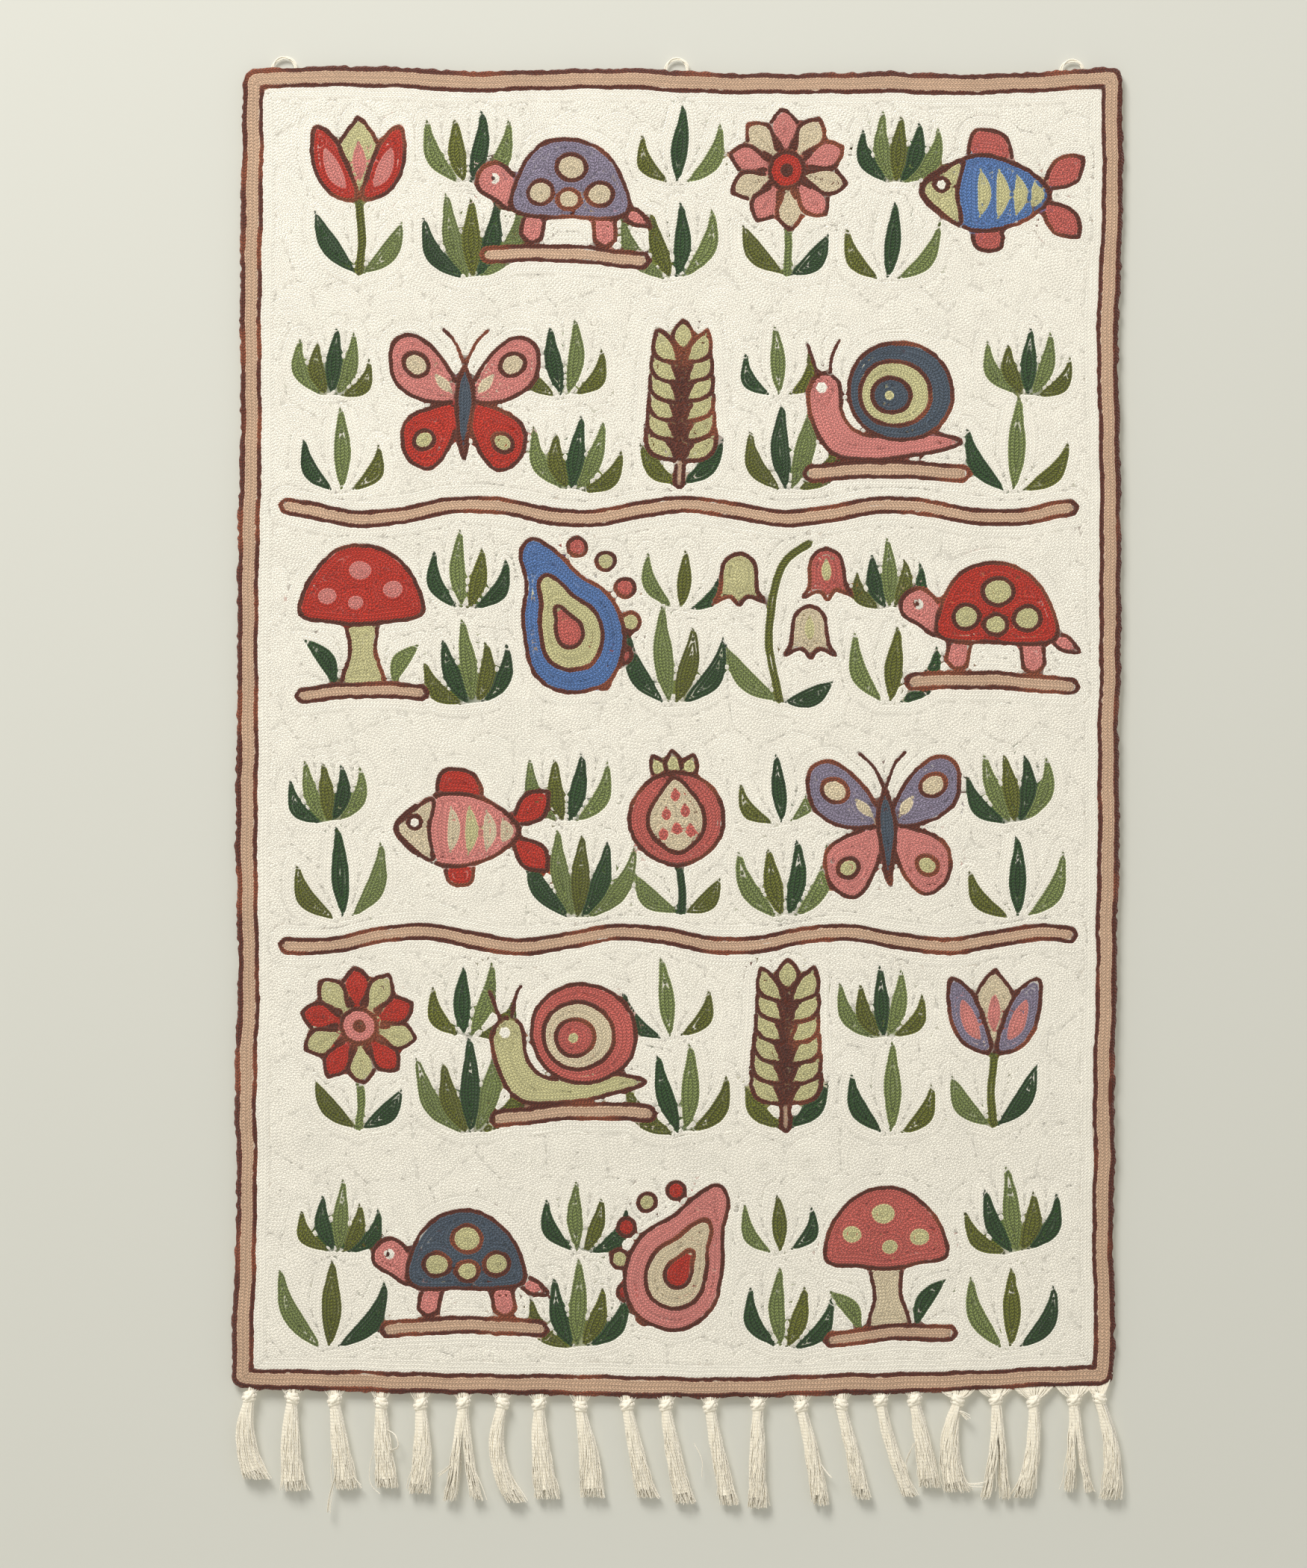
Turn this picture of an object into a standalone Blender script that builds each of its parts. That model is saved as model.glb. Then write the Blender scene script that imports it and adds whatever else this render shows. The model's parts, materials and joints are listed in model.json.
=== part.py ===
"""A chain-stitched wall tapestry, hung flat by three sewn loops, with a row of knotted
cotton tassels along its lower edge.

Metres. The origin is the middle of the cloth's top edge. X runs to the viewer's right,
Y towards the wall and Z up.
"""

import math

import bmesh
import bpy
from mathutils import Matrix, Vector

MM = 0.001

# Driving dimensions of the cloth: a two by three foot panel
CLOTH_WIDTH = 609 * MM
CLOTH_HEIGHT = 914 * MM
CLOTH_THICKNESS = 3 * MM
CORNER_RADIUS = 8 * MM
SEAT_GAP = 0.4 * MM

# The cloth's grid: a narrow row or column at each edge, even ones between
GRID_COLUMNS = 18
GRID_ROWS = 26
EDGE_CELL = CORNER_RADIUS

# How the cloth's edges wander, in millimetres: (place along the edge, place across it)
TOP_EDGE = [
    (-305, 1.5), (-245, 3.5), (-196, 2.0), (-147, -0.5), (-98, 1.0), (-49, 1.5), (0, -0.5),
    (50, -1.5), (99, -2.0), (148, -1.0), (197, -2.5), (246, -0.5), (305, 2.5),
]
BOTTOM_EDGE = [
    (-311, -912.0), (-245, -914.0), (-147, -915.5), (-98, -917.0), (0, -918.0),
    (50, -919.0), (99, -916.5), (197, -914.0), (246, -911.5), (298, -911.0),
]
LEFT_EDGE = [
    (-912, -311.5), (-871, -311.5), (-814, -309.5), (-757, -308.0), (-700, -309.5),
    (-643, -307.5), (-530, -308.5), (-416, -308.5), (-359, -307.5), (-246, -306.0),
    (-132, -305.5), (0, -304.5),
]
RIGHT_EDGE = [
    (-912, 297.5), (-871, 299.0), (-814, 297.5), (-757, 299.0), (-700, 297.5),
    (-643, 300.0), (-530, 301.5), (-473, 300.5), (-416, 303.0), (-302, 302.5),
    (-246, 302.0), (-189, 301.0), (-75, 304.5), (0, 304.5),
]

# The soft creases and swells that the cloth hangs in, in millimetres:
# (centre x, centre z, reach in x, reach in z, height towards the viewer)
FOLDS = [
    (-28, -20, 26, 110, 1.8),
    (-60, -286, 330, 34, 2.2),
    (40, -702, 340, 30, 2.6),
    (-150, -480, 120, 90, -1.6),
    (140, -560, 110, 120, 1.4),
    (300, -420, 60, 330, 2.4),
    (-312, -820, 55, 150, 1.8),
    (290, -905, 70, 80, -1.2),
    (60, -860, 160, 60, -1.3),
    (-210, -110, 90, 70, 1.5),
    (190, -150, 110, 80, -1.4),
]

# Hanging loops of thick cotton thread sewn behind the top edge, in millimetres:
# (name, x, height of the loop's crown, half the distance between its legs)
LOOPS = [
    ("loop_left", -276, 11.6, 8.0),
    ("loop_middle", -4, 10.6, 7.4),
    ("loop_right", 270, 9.6, 7.4),
]
LOOP_THREAD = 2.8 * MM
LOOP_TAIL = 14 * MM
LOOP_ARC_STEPS = 10

# Tassels, in millimetres: (knot x, knot z, x where half way down, tip x, tip z,
# width of the tip, how far the left locks part from the rest, twist in degrees,
# width of the fan of threads that leaves the cloth)
TASSELS = [
    (-300.0, -917.5, -302.5, -295.0, -974, 18, 0, 20, 17),
    (-270.5, -918.5, -271.5, -269.0, -982, 17, 0, -15, 19),
    (-241.0, -920.0, -237.0, -233.0, -981, 15, 0, 10, 20),
    (-209.0, -922.0, -207.5, -204.5, -980, 15, 0, 15, 22),
    (-181.5, -923.0, -180.5, -182.0, -984, 16, 0, -40, 16),
    (-152.0, -922.0, -152.0, -149.5, -989, 16, 8, 0, 18),
    (-125.0, -922.0, -128.5, -116.5, -990, 13, 0, -70, 18),
    (-99.5, -923.0, -98.0, -93.5, -988, 17, 0, 10, 17),
    (-71.0, -924.5, -65.5, -62.0, -987, 17, 0, -60, 18),
    (-38.5, -923.5, -32.0, -24.5, -987, 13, 0, -30, 19),
    (-11.5, -923.5, -6.0, 1.5, -991, 14, 0, 25, 18),
    (19.0, -924.5, 25.0, 32.5, -992, 12, 0, -75, 18),
    (52.0, -923.5, 51.5, 52.0, -994, 13, 0, -80, 14),
    (82.0, -924.5, 90.0, 95.0, -992, 12, 0, -75, 20),
    (109.5, -923.0, 117.5, 124.5, -988, 11, 0, -70, 16),
    (137.0, -920.5, 145.0, 157.0, -986, 9, 0, -40, 20),
    (160.5, -920.0, 166.5, 171.0, -980, 14, 0, 15, 20),
    (190.0, -920.0, 184.5, 190.5, -983, 17, 0, -50, 22),
    (217.0, -919.5, 218.5, 218.0, -988, 11, 6, 10, 22),
    (243.0, -921.0, 242.0, 235.0, -987, 11, 0, 60, 26),
    (271.0, -920.0, 273.0, 276.0, -983, 11, 6, 0, 20),
    (288.5, -919.0, 297.0, 296.0, -988, 13, 0, -45, 11),
]

# Tassel sections. Widths and depths are halves, across the cloth and out from the wall.
FAN_HALF_DEPTH = 1.0 * MM
NECK_HALF_WIDTH, NECK_HALF_DEPTH = 3.6 * MM, 2.6 * MM
KNOT_HALF_WIDTH, KNOT_HALF_DEPTH = 5.2 * MM, 4.2 * MM
KNOT_FOOT_HALF_WIDTH, KNOT_FOOT_HALF_DEPTH = 4.0 * MM, 3.4 * MM
KNOT_RISE = 3.2 * MM
KNOT_DROP = 3.4 * MM
FOOT_DROP = 4.6 * MM
LOCKS_ACROSS = 3
LOCK_SECTIONS = 4
LOCK_INSET = 0.35 * MM
BUNDLE_HALF_WIDTH, BUNDLE_HALF_DEPTH = 3.2 * MM, 3.0 * MM
LOCK_TOP_WIDTH, LOCK_TIP_WIDTH = 1.5 * MM, 1.9 * MM
UNEVEN_TIPS = 0.07

WOOL = (0.83, 0.80, 0.72, 1.0)
COTTON = (0.86, 0.81, 0.70, 1.0)


def clear_scene():
    """Starts from an empty scene."""
    for old in list(bpy.data.objects):
        bpy.data.objects.remove(old)


def fabric(name, colour, roughness):
    """A plain matt cloth finish."""
    material = bpy.data.materials.new(name)
    material.use_nodes = True
    shader = material.node_tree.nodes["Principled BSDF"]
    shader.inputs["Base Color"].default_value = colour
    shader.inputs["Roughness"].default_value = roughness
    shader.inputs["Metallic"].default_value = 0.0
    return material


def new_mesh_object(name, bm, material, collection):
    """A named object from a finished bmesh."""
    mesh = bpy.data.meshes.new(name)
    bm.to_mesh(mesh)
    bm.free()
    mesh.materials.append(material)
    made = bpy.data.objects.new(name, mesh)
    collection.objects.link(made)
    return made


def along(table, at):
    """Reads an edge table, in millimetres, at a place in metres, easing between its points."""
    place = at / MM
    if place <= table[0][0]:
        return table[0][1] * MM
    for (low, low_value), (high, high_value) in zip(table, table[1:]):
        if place <= high:
            share = (place - low) / (high - low)
            eased = share * share * (3 - 2 * share)
            return (low_value + (high_value - low_value) * eased) * MM
    return table[-1][1] * MM


def hang_depth(x, z):
    """How far the middle of the cloth stands towards the wall at a place on it."""
    forward = 0.0
    for fold_x, fold_z, reach_x, reach_z, height in FOLDS:
        across = (x / MM - fold_x) / reach_x
        down = (z / MM - fold_z) / reach_z
        forward += height * math.exp(-across * across - down * down)
    return -forward * MM


def cloth_point(u, v):
    """A point of the cloth's middle surface: u from left to right, v from top to bottom."""
    z = -v * CLOTH_HEIGHT
    left, right = along(LEFT_EDGE, z), along(RIGHT_EDGE, z)
    x = left + (right - left) * u
    top, bottom = along(TOP_EDGE, x), along(BOTTOM_EDGE, x)
    z = top + (bottom - top) * v
    return Vector((x, hang_depth(x, z), z))


def grid_share(index, cells, length):
    """Where a grid line lies, from 0 to 1: the first and last cells are EDGE_CELL wide."""
    edge = EDGE_CELL / length
    if index == 0:
        return 0.0
    if index == cells:
        return 1.0
    return edge + (1 - 2 * edge) * (index - 1) / (cells - 2)


def make_panel(material, collection):
    """The cloth: an open surface in its outline and folds, thickened evenly."""
    bm = bmesh.new()
    bmesh.ops.create_grid(bm, x_segments=GRID_COLUMNS, y_segments=GRID_ROWS, size=1.0)
    pull = CORNER_RADIUS * (1 - math.sqrt(0.5))
    for vertex in bm.verts:
        column = round((vertex.co.x + 1) / 2 * GRID_COLUMNS)
        row = round((1 - vertex.co.y) / 2 * GRID_ROWS)
        u = grid_share(column, GRID_COLUMNS, CLOTH_WIDTH)
        v = grid_share(row, GRID_ROWS, CLOTH_HEIGHT)
        vertex.co = cloth_point(u, v)
        if column in (0, GRID_COLUMNS) and row in (0, GRID_ROWS):
            vertex.co.x += pull if column == 0 else -pull
            vertex.co.z += pull if row == GRID_ROWS else -pull
    panel = new_mesh_object("panel", bm, material, collection)
    thicken = panel.modifiers.new("thickness", "SOLIDIFY")
    thicken.thickness = CLOTH_THICKNESS
    thicken.offset = 0.0
    return panel


def lower_edge():
    """The points of the cloth's lower edge, left to right, as its grid has them."""
    shares = [grid_share(i, GRID_COLUMNS, CLOTH_WIDTH) for i in range(GRID_COLUMNS + 1)]
    return [cloth_point(u, 1.0) for u in shares]


def on_lower_edge(points, x):
    """The lower edge's place at x, on the straight run between two of its points."""
    for left, right in zip(points, points[1:]):
        if x <= right.x:
            share = max(0.0, (x - left.x) / (right.x - left.x))
            return left.lerp(right, share)
    return points[-1].copy()


def back_of_cloth(x, half_width, depth):
    """The furthest that the cloth's back reaches behind a strip below the top edge."""
    places = [(x + side * half_width, -down * depth) for side in (-1, 0, 1) for down in (-1, 0, 1, 2)]
    return max(hang_depth(px, pz) for px, pz in places) + CLOTH_THICKNESS / 2


def make_loop(name, x, crown, half_span, material, collection):
    """A hanging loop: two legs sewn behind the top edge, joined by a round crown."""
    radius = LOOP_THREAD / 2
    y = back_of_cloth(x, half_span + radius, LOOP_TAIL) + SEAT_GAP + radius
    spring = crown - radius - half_span
    points = [Vector((x - half_span, y, -LOOP_TAIL)), Vector((x - half_span, y, -LOOP_TAIL / 2))]
    for step in range(LOOP_ARC_STEPS + 1):
        turn = math.pi * (1 - step / LOOP_ARC_STEPS)
        points.append(Vector((x + half_span * math.cos(turn), y, spring + half_span * math.sin(turn))))
    points += [Vector((x + half_span, y, -LOOP_TAIL / 2)), Vector((x + half_span, y, -LOOP_TAIL))]
    curve = bpy.data.curves.new(name, "CURVE")
    curve.dimensions = "3D"
    curve.bevel_depth = radius
    curve.bevel_resolution = 2
    curve.use_fill_caps = True
    spline = curve.splines.new("POLY")
    spline.points.add(len(points) - 1)
    for place, point in zip(points, spline.points):
        point.co = (*place, 1.0)
    curve.materials.append(material)
    loop = bpy.data.objects.new(name, curve)
    collection.objects.link(loop)
    return loop


def rounded(x, y):
    """Moves a point of the square from -1 to 1 onto the disc of radius 1."""
    return x * math.sqrt(1 - y * y / 2), y * math.sqrt(1 - x * x / 2)


def bundle_line(row, share):
    """The middle of a tassel's bundle: a smooth curve through its knot, its waist and its tip."""
    knot_x, knot_z, waist_x, tip_x, tip_z = row[:5]
    bend = waist_x - (knot_x + tip_x) / 2
    x = knot_x + (tip_x - knot_x) * share + 4 * bend * share * (1 - share)
    return x * MM, knot_z * MM - FOOT_DROP + (tip_z * MM - knot_z * MM + FOOT_DROP) * share


def lock_place(row, cell, share):
    """Where one lock's middle lies. cell is its column and row in the knot's foot, from -1 to 1."""
    tip_width, parting, twist = row[5:8]
    x, z = bundle_line(row, share)
    if cell != (0, 0):
        turn = math.atan2(cell[1], cell[0]) + math.radians(twist) * share
        tip_half = tip_width * MM / 2 - LOCK_TIP_WIDTH / 2
        half_width = BUNDLE_HALF_WIDTH + (tip_half - BUNDLE_HALF_WIDTH) * share
        x += half_width * math.cos(turn)
        y = BUNDLE_HALF_DEPTH * math.sin(turn)
    else:
        y = 0.0
    leaving = parting * MM * share * share
    x += -leaving if cell[0] < 0 else leaving * 0.4
    return x, y, z


def grow_head(bm, row, y, edge_points):
    """Draws the foot's rim up through the knot and the neck to the fan at the cloth's edge."""
    knot_x, knot_z, fan_width = row[0] * MM, row[1] * MM, row[8] * MM
    sections = [
        (KNOT_HALF_WIDTH, KNOT_HALF_DEPTH, knot_z - KNOT_DROP * 0.4),
        (KNOT_HALF_WIDTH * 0.92, KNOT_HALF_DEPTH * 0.92, knot_z + KNOT_RISE * 0.35),
        (NECK_HALF_WIDTH, NECK_HALF_DEPTH, knot_z + KNOT_RISE),
        (fan_width / 2, FAN_HALF_DEPTH, None),
    ]
    rim = [edge for edge in bm.edges if edge.is_boundary]
    square = {vertex: vertex.co.copy() for vertex in bm.verts}
    for half_width, half_depth, z in sections:
        grown = bmesh.ops.extrude_edge_only(bm, edges=rim)["geom"]
        fresh = [item for item in grown if isinstance(item, bmesh.types.BMVert)]
        rim = [item for item in grown if isinstance(item, bmesh.types.BMEdge) and item.is_boundary]
        before = square
        square = {}
        for vertex in fresh:
            source = min(before, key=lambda old: (old.co - vertex.co).length)
            square[vertex] = before[source]
        for vertex in fresh:
            across, out = square[vertex].x, square[vertex].y
            if z is None:
                x = knot_x + across * half_width
                edge = on_lower_edge(edge_points, x)
                vertex.co = (x, edge.y + out * half_depth, edge.z - SEAT_GAP)
            else:
                across, out = rounded(across, out)
                vertex.co = (knot_x + across * half_width, y + out * half_depth, z)
    bmesh.ops.edgeloop_fill(bm, edges=rim)


def grow_lock(bm, face, row, cell, y, number):
    """Draws one lock down from its face of the knot's foot, four-sided, to its own tip."""
    reach = 1.0 - UNEVEN_TIPS * ((number * 5) % 9) / 9
    twist = math.radians(row[7])
    before = 0.0
    for step in range(1, LOCK_SECTIONS + 1):
        share = (step / LOCK_SECTIONS) * reach
        face = bmesh.ops.extrude_discrete_faces(bm, faces=[face])["faces"][0]
        width = LOCK_TOP_WIDTH + (LOCK_TIP_WIDTH - LOCK_TOP_WIDTH) * share
        if step == LOCK_SECTIONS:
            width *= 0.7
        lock_x, lock_y, lock_z = lock_place(row, cell, share)
        middle = face.calc_center_median()
        unturned = Matrix.Rotation(-twist * before, 3, "Z")
        turned = Matrix.Rotation(twist * share, 3, "Z")
        for vertex in face.verts:
            corner = unturned @ (vertex.co - middle)
            square = Vector((math.copysign(width / 2, corner.x), math.copysign(width / 2, corner.y), 0.0))
            vertex.co = Vector((lock_x, y + lock_y, lock_z)) + turned @ square
        before = share


def make_tassel(name, row, edge_points, material, collection):
    """A tassel: the fan of threads that leaves the cloth, its knot, and nine locks."""
    knot_x, knot_z = row[0] * MM, row[1] * MM
    y = on_lower_edge(edge_points, knot_x).y
    bm = bmesh.new()
    bmesh.ops.create_grid(bm, x_segments=LOCKS_ACROSS, y_segments=LOCKS_ACROSS, size=1.0)
    feet = list(bm.faces)
    cells = {}
    for face in feet:
        middle = face.calc_center_median()
        cells[face] = (round(middle.x * 1.5), round(middle.y * 1.5))
    grow_head(bm, row, y, edge_points)
    for vertex in {corner for face in feet for corner in face.verts}:
        across, out = rounded(vertex.co.x, vertex.co.y)
        x = knot_x + across * KNOT_FOOT_HALF_WIDTH
        vertex.co = (x, y + out * KNOT_FOOT_HALF_DEPTH, knot_z - FOOT_DROP)
    bmesh.ops.inset_individual(bm, faces=feet, thickness=LOCK_INSET, use_even_offset=True)
    for number, face in enumerate(feet):
        grow_lock(bm, face, row, cells[face], y, number)
    bmesh.ops.recalc_face_normals(bm, faces=bm.faces)
    return new_mesh_object(name, bm, material, collection)


def build():
    """Makes the whole tapestry."""
    clear_scene()
    collection = bpy.data.collections.new("tapestry")
    bpy.context.scene.collection.children.link(collection)
    wool = fabric("stitched_wool", WOOL, 0.9)
    cotton = fabric("cotton_thread", COTTON, 0.85)
    make_panel(wool, collection)
    for name, x, crown, half_span in LOOPS:
        make_loop(name, x * MM, crown * MM, half_span * MM, cotton, collection)
    edge_points = lower_edge()
    for number, row in enumerate(TASSELS, start=1):
        make_tassel(f"tassel_{number:02d}", row, edge_points, cotton, collection)


build()
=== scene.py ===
# %% [markdown]
# # A chain-stitched wall tapestry
# A wall tapestry of this kind is a cotton cloth that is covered all over in chain stitch, worked in wool
# with a small hook. A border of two brown rows with three beige rows between them frames an off-white
# ground with coloured figures. Cotton tassels hang below, and three loops of yarn hold it to the wall.
# The solids of the cloth, its loops and its tassels come ready made, and this lesson dresses them.

# %% Open the frame
import json
import math
from collections import namedtuple

import bmesh
import bpy
import numpy as np
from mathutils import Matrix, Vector
from mathutils.bvhtree import BVHTree

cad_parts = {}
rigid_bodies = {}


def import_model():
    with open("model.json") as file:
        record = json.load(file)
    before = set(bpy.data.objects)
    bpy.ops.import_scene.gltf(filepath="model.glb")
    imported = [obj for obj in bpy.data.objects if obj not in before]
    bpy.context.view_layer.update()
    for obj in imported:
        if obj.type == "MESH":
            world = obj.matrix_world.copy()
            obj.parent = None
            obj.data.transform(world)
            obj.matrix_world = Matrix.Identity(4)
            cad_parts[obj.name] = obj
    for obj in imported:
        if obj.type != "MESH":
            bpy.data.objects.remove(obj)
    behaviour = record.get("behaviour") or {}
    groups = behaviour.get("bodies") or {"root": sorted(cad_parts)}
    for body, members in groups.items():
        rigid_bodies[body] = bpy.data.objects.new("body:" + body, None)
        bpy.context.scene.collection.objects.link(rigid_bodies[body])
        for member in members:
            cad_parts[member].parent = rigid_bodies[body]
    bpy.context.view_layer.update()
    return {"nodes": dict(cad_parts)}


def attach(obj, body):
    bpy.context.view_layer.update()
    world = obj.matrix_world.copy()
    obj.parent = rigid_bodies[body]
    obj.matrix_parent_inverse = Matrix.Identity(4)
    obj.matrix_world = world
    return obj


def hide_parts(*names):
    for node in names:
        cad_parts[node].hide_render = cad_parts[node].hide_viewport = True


for leftover in list(bpy.data.objects):
    bpy.data.objects.remove(leftover)

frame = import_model()

# %% [markdown]
# ## The wools
# The colours are named as a dyer would name them and given as they look on a screen. Blender works in
# linear light, so one helper turns them over.

# %% Wool colours
DYES = {
    "cream": (238, 233, 220), "camel": (208, 174, 146), "bark": (100, 50, 36), "rust": (152, 82, 54),
    "pine": (52, 84, 42), "moss": (112, 116, 40), "fern": (134, 148, 84), "madder": (198, 56, 40),
    "rose": (222, 138, 130), "coral": (208, 104, 94), "mist": (146, 136, 158), "blue": (92, 128, 186),
    "slate": (80, 92, 106), "straw": (206, 200, 148), "sand": (220, 204, 172), "canvas": (214, 203, 178),
    "cotton": (247, 240, 223),
}

def linear(dye):
    """A named colour in linear light, as three numbers."""
    c = np.array(DYES[dye]) / 255
    return np.where(c <= 0.04045, c / 12.92, ((c + 0.055) / 1.055) ** 2.4)

WOOL_LIST = list(DYES)
WOOL_TABLE = np.array([linear(dye) for dye in WOOL_LIST])
print("wools:", len(WOOL_LIST))

# %% [markdown]
# ## The cloth as it hangs
# Every stitch has to lie on the folds of the cloth and inside its uneven outline. Both could be written
# down again, but they're already in the solid, so they are measured there: rays give the front and back
# surface on an even grid, and the narrow faces of the rim give the outline.

# %% Measure the panel
MM = 0.001
panel = frame["nodes"]["panel"]
panel_points = [v.co.copy() for v in panel.data.vertices]
panel_faces = [tuple(p.vertices) for p in panel.data.polygons]
panel_tree = BVHTree.FromPolygons(panel_points, panel_faces)
GRID_X, GRID_Z = np.linspace(-312, 306, 78), np.linspace(-920, 4, 116)

def surface(side):
    """Depth of the cloth's front (-1) or back (+1) on the grid, in millimetres."""
    depth = np.zeros((len(GRID_Z), len(GRID_X)))
    for i, z in enumerate(GRID_Z):
        for j, x in enumerate(GRID_X):
            start = Vector((x * MM, side * 0.1, z * MM))
            hit = panel_tree.ray_cast(start, Vector((0, -side, 0)))[0]
            if hit is None:
                hit = panel_tree.find_nearest(Vector((x * MM, side * 0.0015, z * MM)))[0]
            depth[i, j] = hit.y / MM
    return depth

FRONT, BACK = surface(-1), surface(1)

def on_grid(table, x, z, xs=GRID_X, zs=GRID_Z):
    """Reads a table between its grid points."""
    u = np.clip((x - xs[0]) / (xs[1] - xs[0]), 0, len(xs) - 1.001)
    v = np.clip((z - zs[0]) / (zs[1] - zs[0]), 0, len(zs) - 1.001)
    i, j = v.astype(int), u.astype(int)
    s, t = u - j, v - i
    top = table[i, j] * (1 - s) + table[i, j + 1] * s
    return top * (1 - t) + (table[i + 1, j] * (1 - s) + table[i + 1, j + 1] * s) * t

rim = set()
for polygon in panel.data.polygons:
    if abs(polygon.normal.y) < 0.5:
        corners = [panel_points[k] for k in polygon.vertices]
        middle = sum(c.y for c in corners) / len(corners)
        rim.update((round(c.x / MM, 2), round(c.z / MM, 2)) for c in corners if c.y < middle)
OUTLINE = np.array(sorted(rim, key=lambda p: math.atan2((p[1] + 457) / 457, p[0] / 305)))
print("outline:", len(OUTLINE), "points; front from", FRONT.min().round(2), "to", FRONT.max().round(2), "mm")

# %% [markdown]
# ## Drawing tools
# The stitcher first draws each figure on the cloth as a closed line, and then fills it row by row.
# The same is done here: a figure is a few closed lines, in millimetres, with a wool colour each.
# The lines could be drawn by hand as long lists of points. Short formulas are used instead, because an
# oval, a leaf, a strip and a smooth line through a few points are enough for every figure.

# %% Closed lines
Patch = namedtuple("Patch", "line wool edged")
Stroke = namedtuple("Stroke", "line wool")

def oval(x, z, half_width, half_height, turn=0.0, count=30):
    """A closed oval around (x, z)."""
    angle = np.linspace(0, 2 * math.pi, count, endpoint=False)
    points = np.stack([half_width * np.cos(angle), half_height * np.sin(angle)], 1)
    return turned(points, turn) + (x, z)

def turned(points, degrees):
    """Points turned about the origin, anticlockwise."""
    a = math.radians(degrees)
    return np.asarray(points, float) @ np.array([[math.cos(a), math.sin(a)], [-math.sin(a), math.cos(a)]])

def leaf(base, tip, width, belly=0.5, bend=0.0, blunt=0.12, count=14):
    """A leaf or petal from base to tip. belly is where it is widest, bend how far it bows sideways."""
    base, tip = np.array(base, float), np.array(tip, float)
    along = np.linspace(0, 1, count)
    half = np.sin(math.pi * along ** (math.log(0.5) / math.log(belly))) * width / 2
    half = np.maximum(half, width * blunt * np.sqrt(np.sin(math.pi * np.clip(along, 0.02, 0.98))))
    spine = base + (tip - base) * along[:, None]
    length = np.linalg.norm(tip - base)
    side = np.array([base[1] - tip[1], tip[0] - base[0]]) / length
    spine = spine + side * (bend * np.sin(math.pi * along))[:, None]
    left, right = spine + side * half[:, None], spine - side * half[:, None]
    return np.concatenate([left, right[::-1][1:-1]])

def through(points, steps=5, closed=True):
    """A smooth line through a few points."""
    points = np.asarray(points, float)
    if not closed:
        points = np.concatenate([points[:1], points, points[-1:]])
    t = np.linspace(0, 1, steps, endpoint=False)[:, None]
    out = []
    spans = len(points) if closed else len(points) - 3
    for i in range(spans):
        first = i if not closed else i - 1
        a, b, c, d = (points[(first + k) % len(points)] for k in range(4))
        out.append(b + 0.5 * t * (c - a + t * (2 * a - 5 * b + 4 * c - d + t * (3 * (b - c) + d - a))))
    if not closed:
        out.append(points[-1:])
    return np.concatenate(out)

def strip(points, width, steps=5):
    """A bar or stem of even width with round ends, along a smooth line."""
    spine = through(points, steps, closed=False)
    along = np.gradient(spine, axis=0)
    along /= np.linalg.norm(along, axis=1)[:, None]
    side = np.stack([-along[:, 1], along[:, 0]], 1) * width / 2
    start = spine[0] - along[0] * width * 0.32
    end = spine[-1] + along[-1] * width * 0.32
    return np.concatenate([[start], spine + side, [end], (spine - side)[::-1]])

# %% [markdown]
# ## The figures
# The ground carries a plain garden pattern of flowers, fruit, small beasts and tufts of leaves. It could
# be drawn as one long picture, but a garden repeats itself.
# Each figure is a function that returns its patches from the lowest to the topmost, around its own
# middle and about 100 mm tall, so one figure can be used again in another wool.

# %% Flowers
def stalk(foot, top, greens=("moss", "pine", "fern")):
    """A stem with two or three long leaves."""
    stem, left, right = greens
    rise = top - foot
    return [
        Patch(leaf((-1, foot), (-27, foot + rise * 0.86), 12, 0.5, 5), left, False),
        Patch(leaf((1, foot), (26, foot + rise * 0.7), 12, 0.5, -5), right, False),
        Patch(strip([(0, foot), (1.5, foot + rise / 2), (0, top)], 5.2), stem, False),
    ]

def tulip(main, second, light):
    """Three petals that stand in a cup."""
    side = [(-2, -4), (-17, -1), (-27, 16), (-27, 40), (-15, 33), (-6, 14)]
    inner = [(-8, 3), (-17, 7), (-21, 18), (-20, 28), (-12, 18)]
    mirrored = [(-x, z) for x, z in side[::-1]]
    mirrored_inner = [(-x, z) for x, z in inner[::-1]]
    return stalk(-50, -4) + [
        Patch(leaf((0, -4), (0, 46), 26, 0.55, 0, 0.2), light, True),
        Patch(leaf((0, 6), (0, 32), 8, 0.5), second, False),
        Patch(through(side), main, True),
        Patch(through(mirrored), main, True),
        Patch(through(inner), second, False),
        Patch(through(mirrored_inner), second, False),
    ]

def daisy(main, second, light):
    """A ring of petals about a round eye."""
    patches = stalk(-50, -14, ("fern", "moss", "pine"))
    for i in range(10):
        direction = turned([(0, 1)], 36 * i + 4)[0]
        petal = leaf(direction * 8 + (0, 13), direction * 36 + (0, 13), 16, 0.62, 0, 0.25)
        patches.append(Patch(petal, (main, light)[i % 2], True))
    return patches + [
        Patch(oval(0, 13, 10.5, 10.5), second, True),
        Patch(oval(0, 13, 4, 4), "bark", False),
    ]

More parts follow.
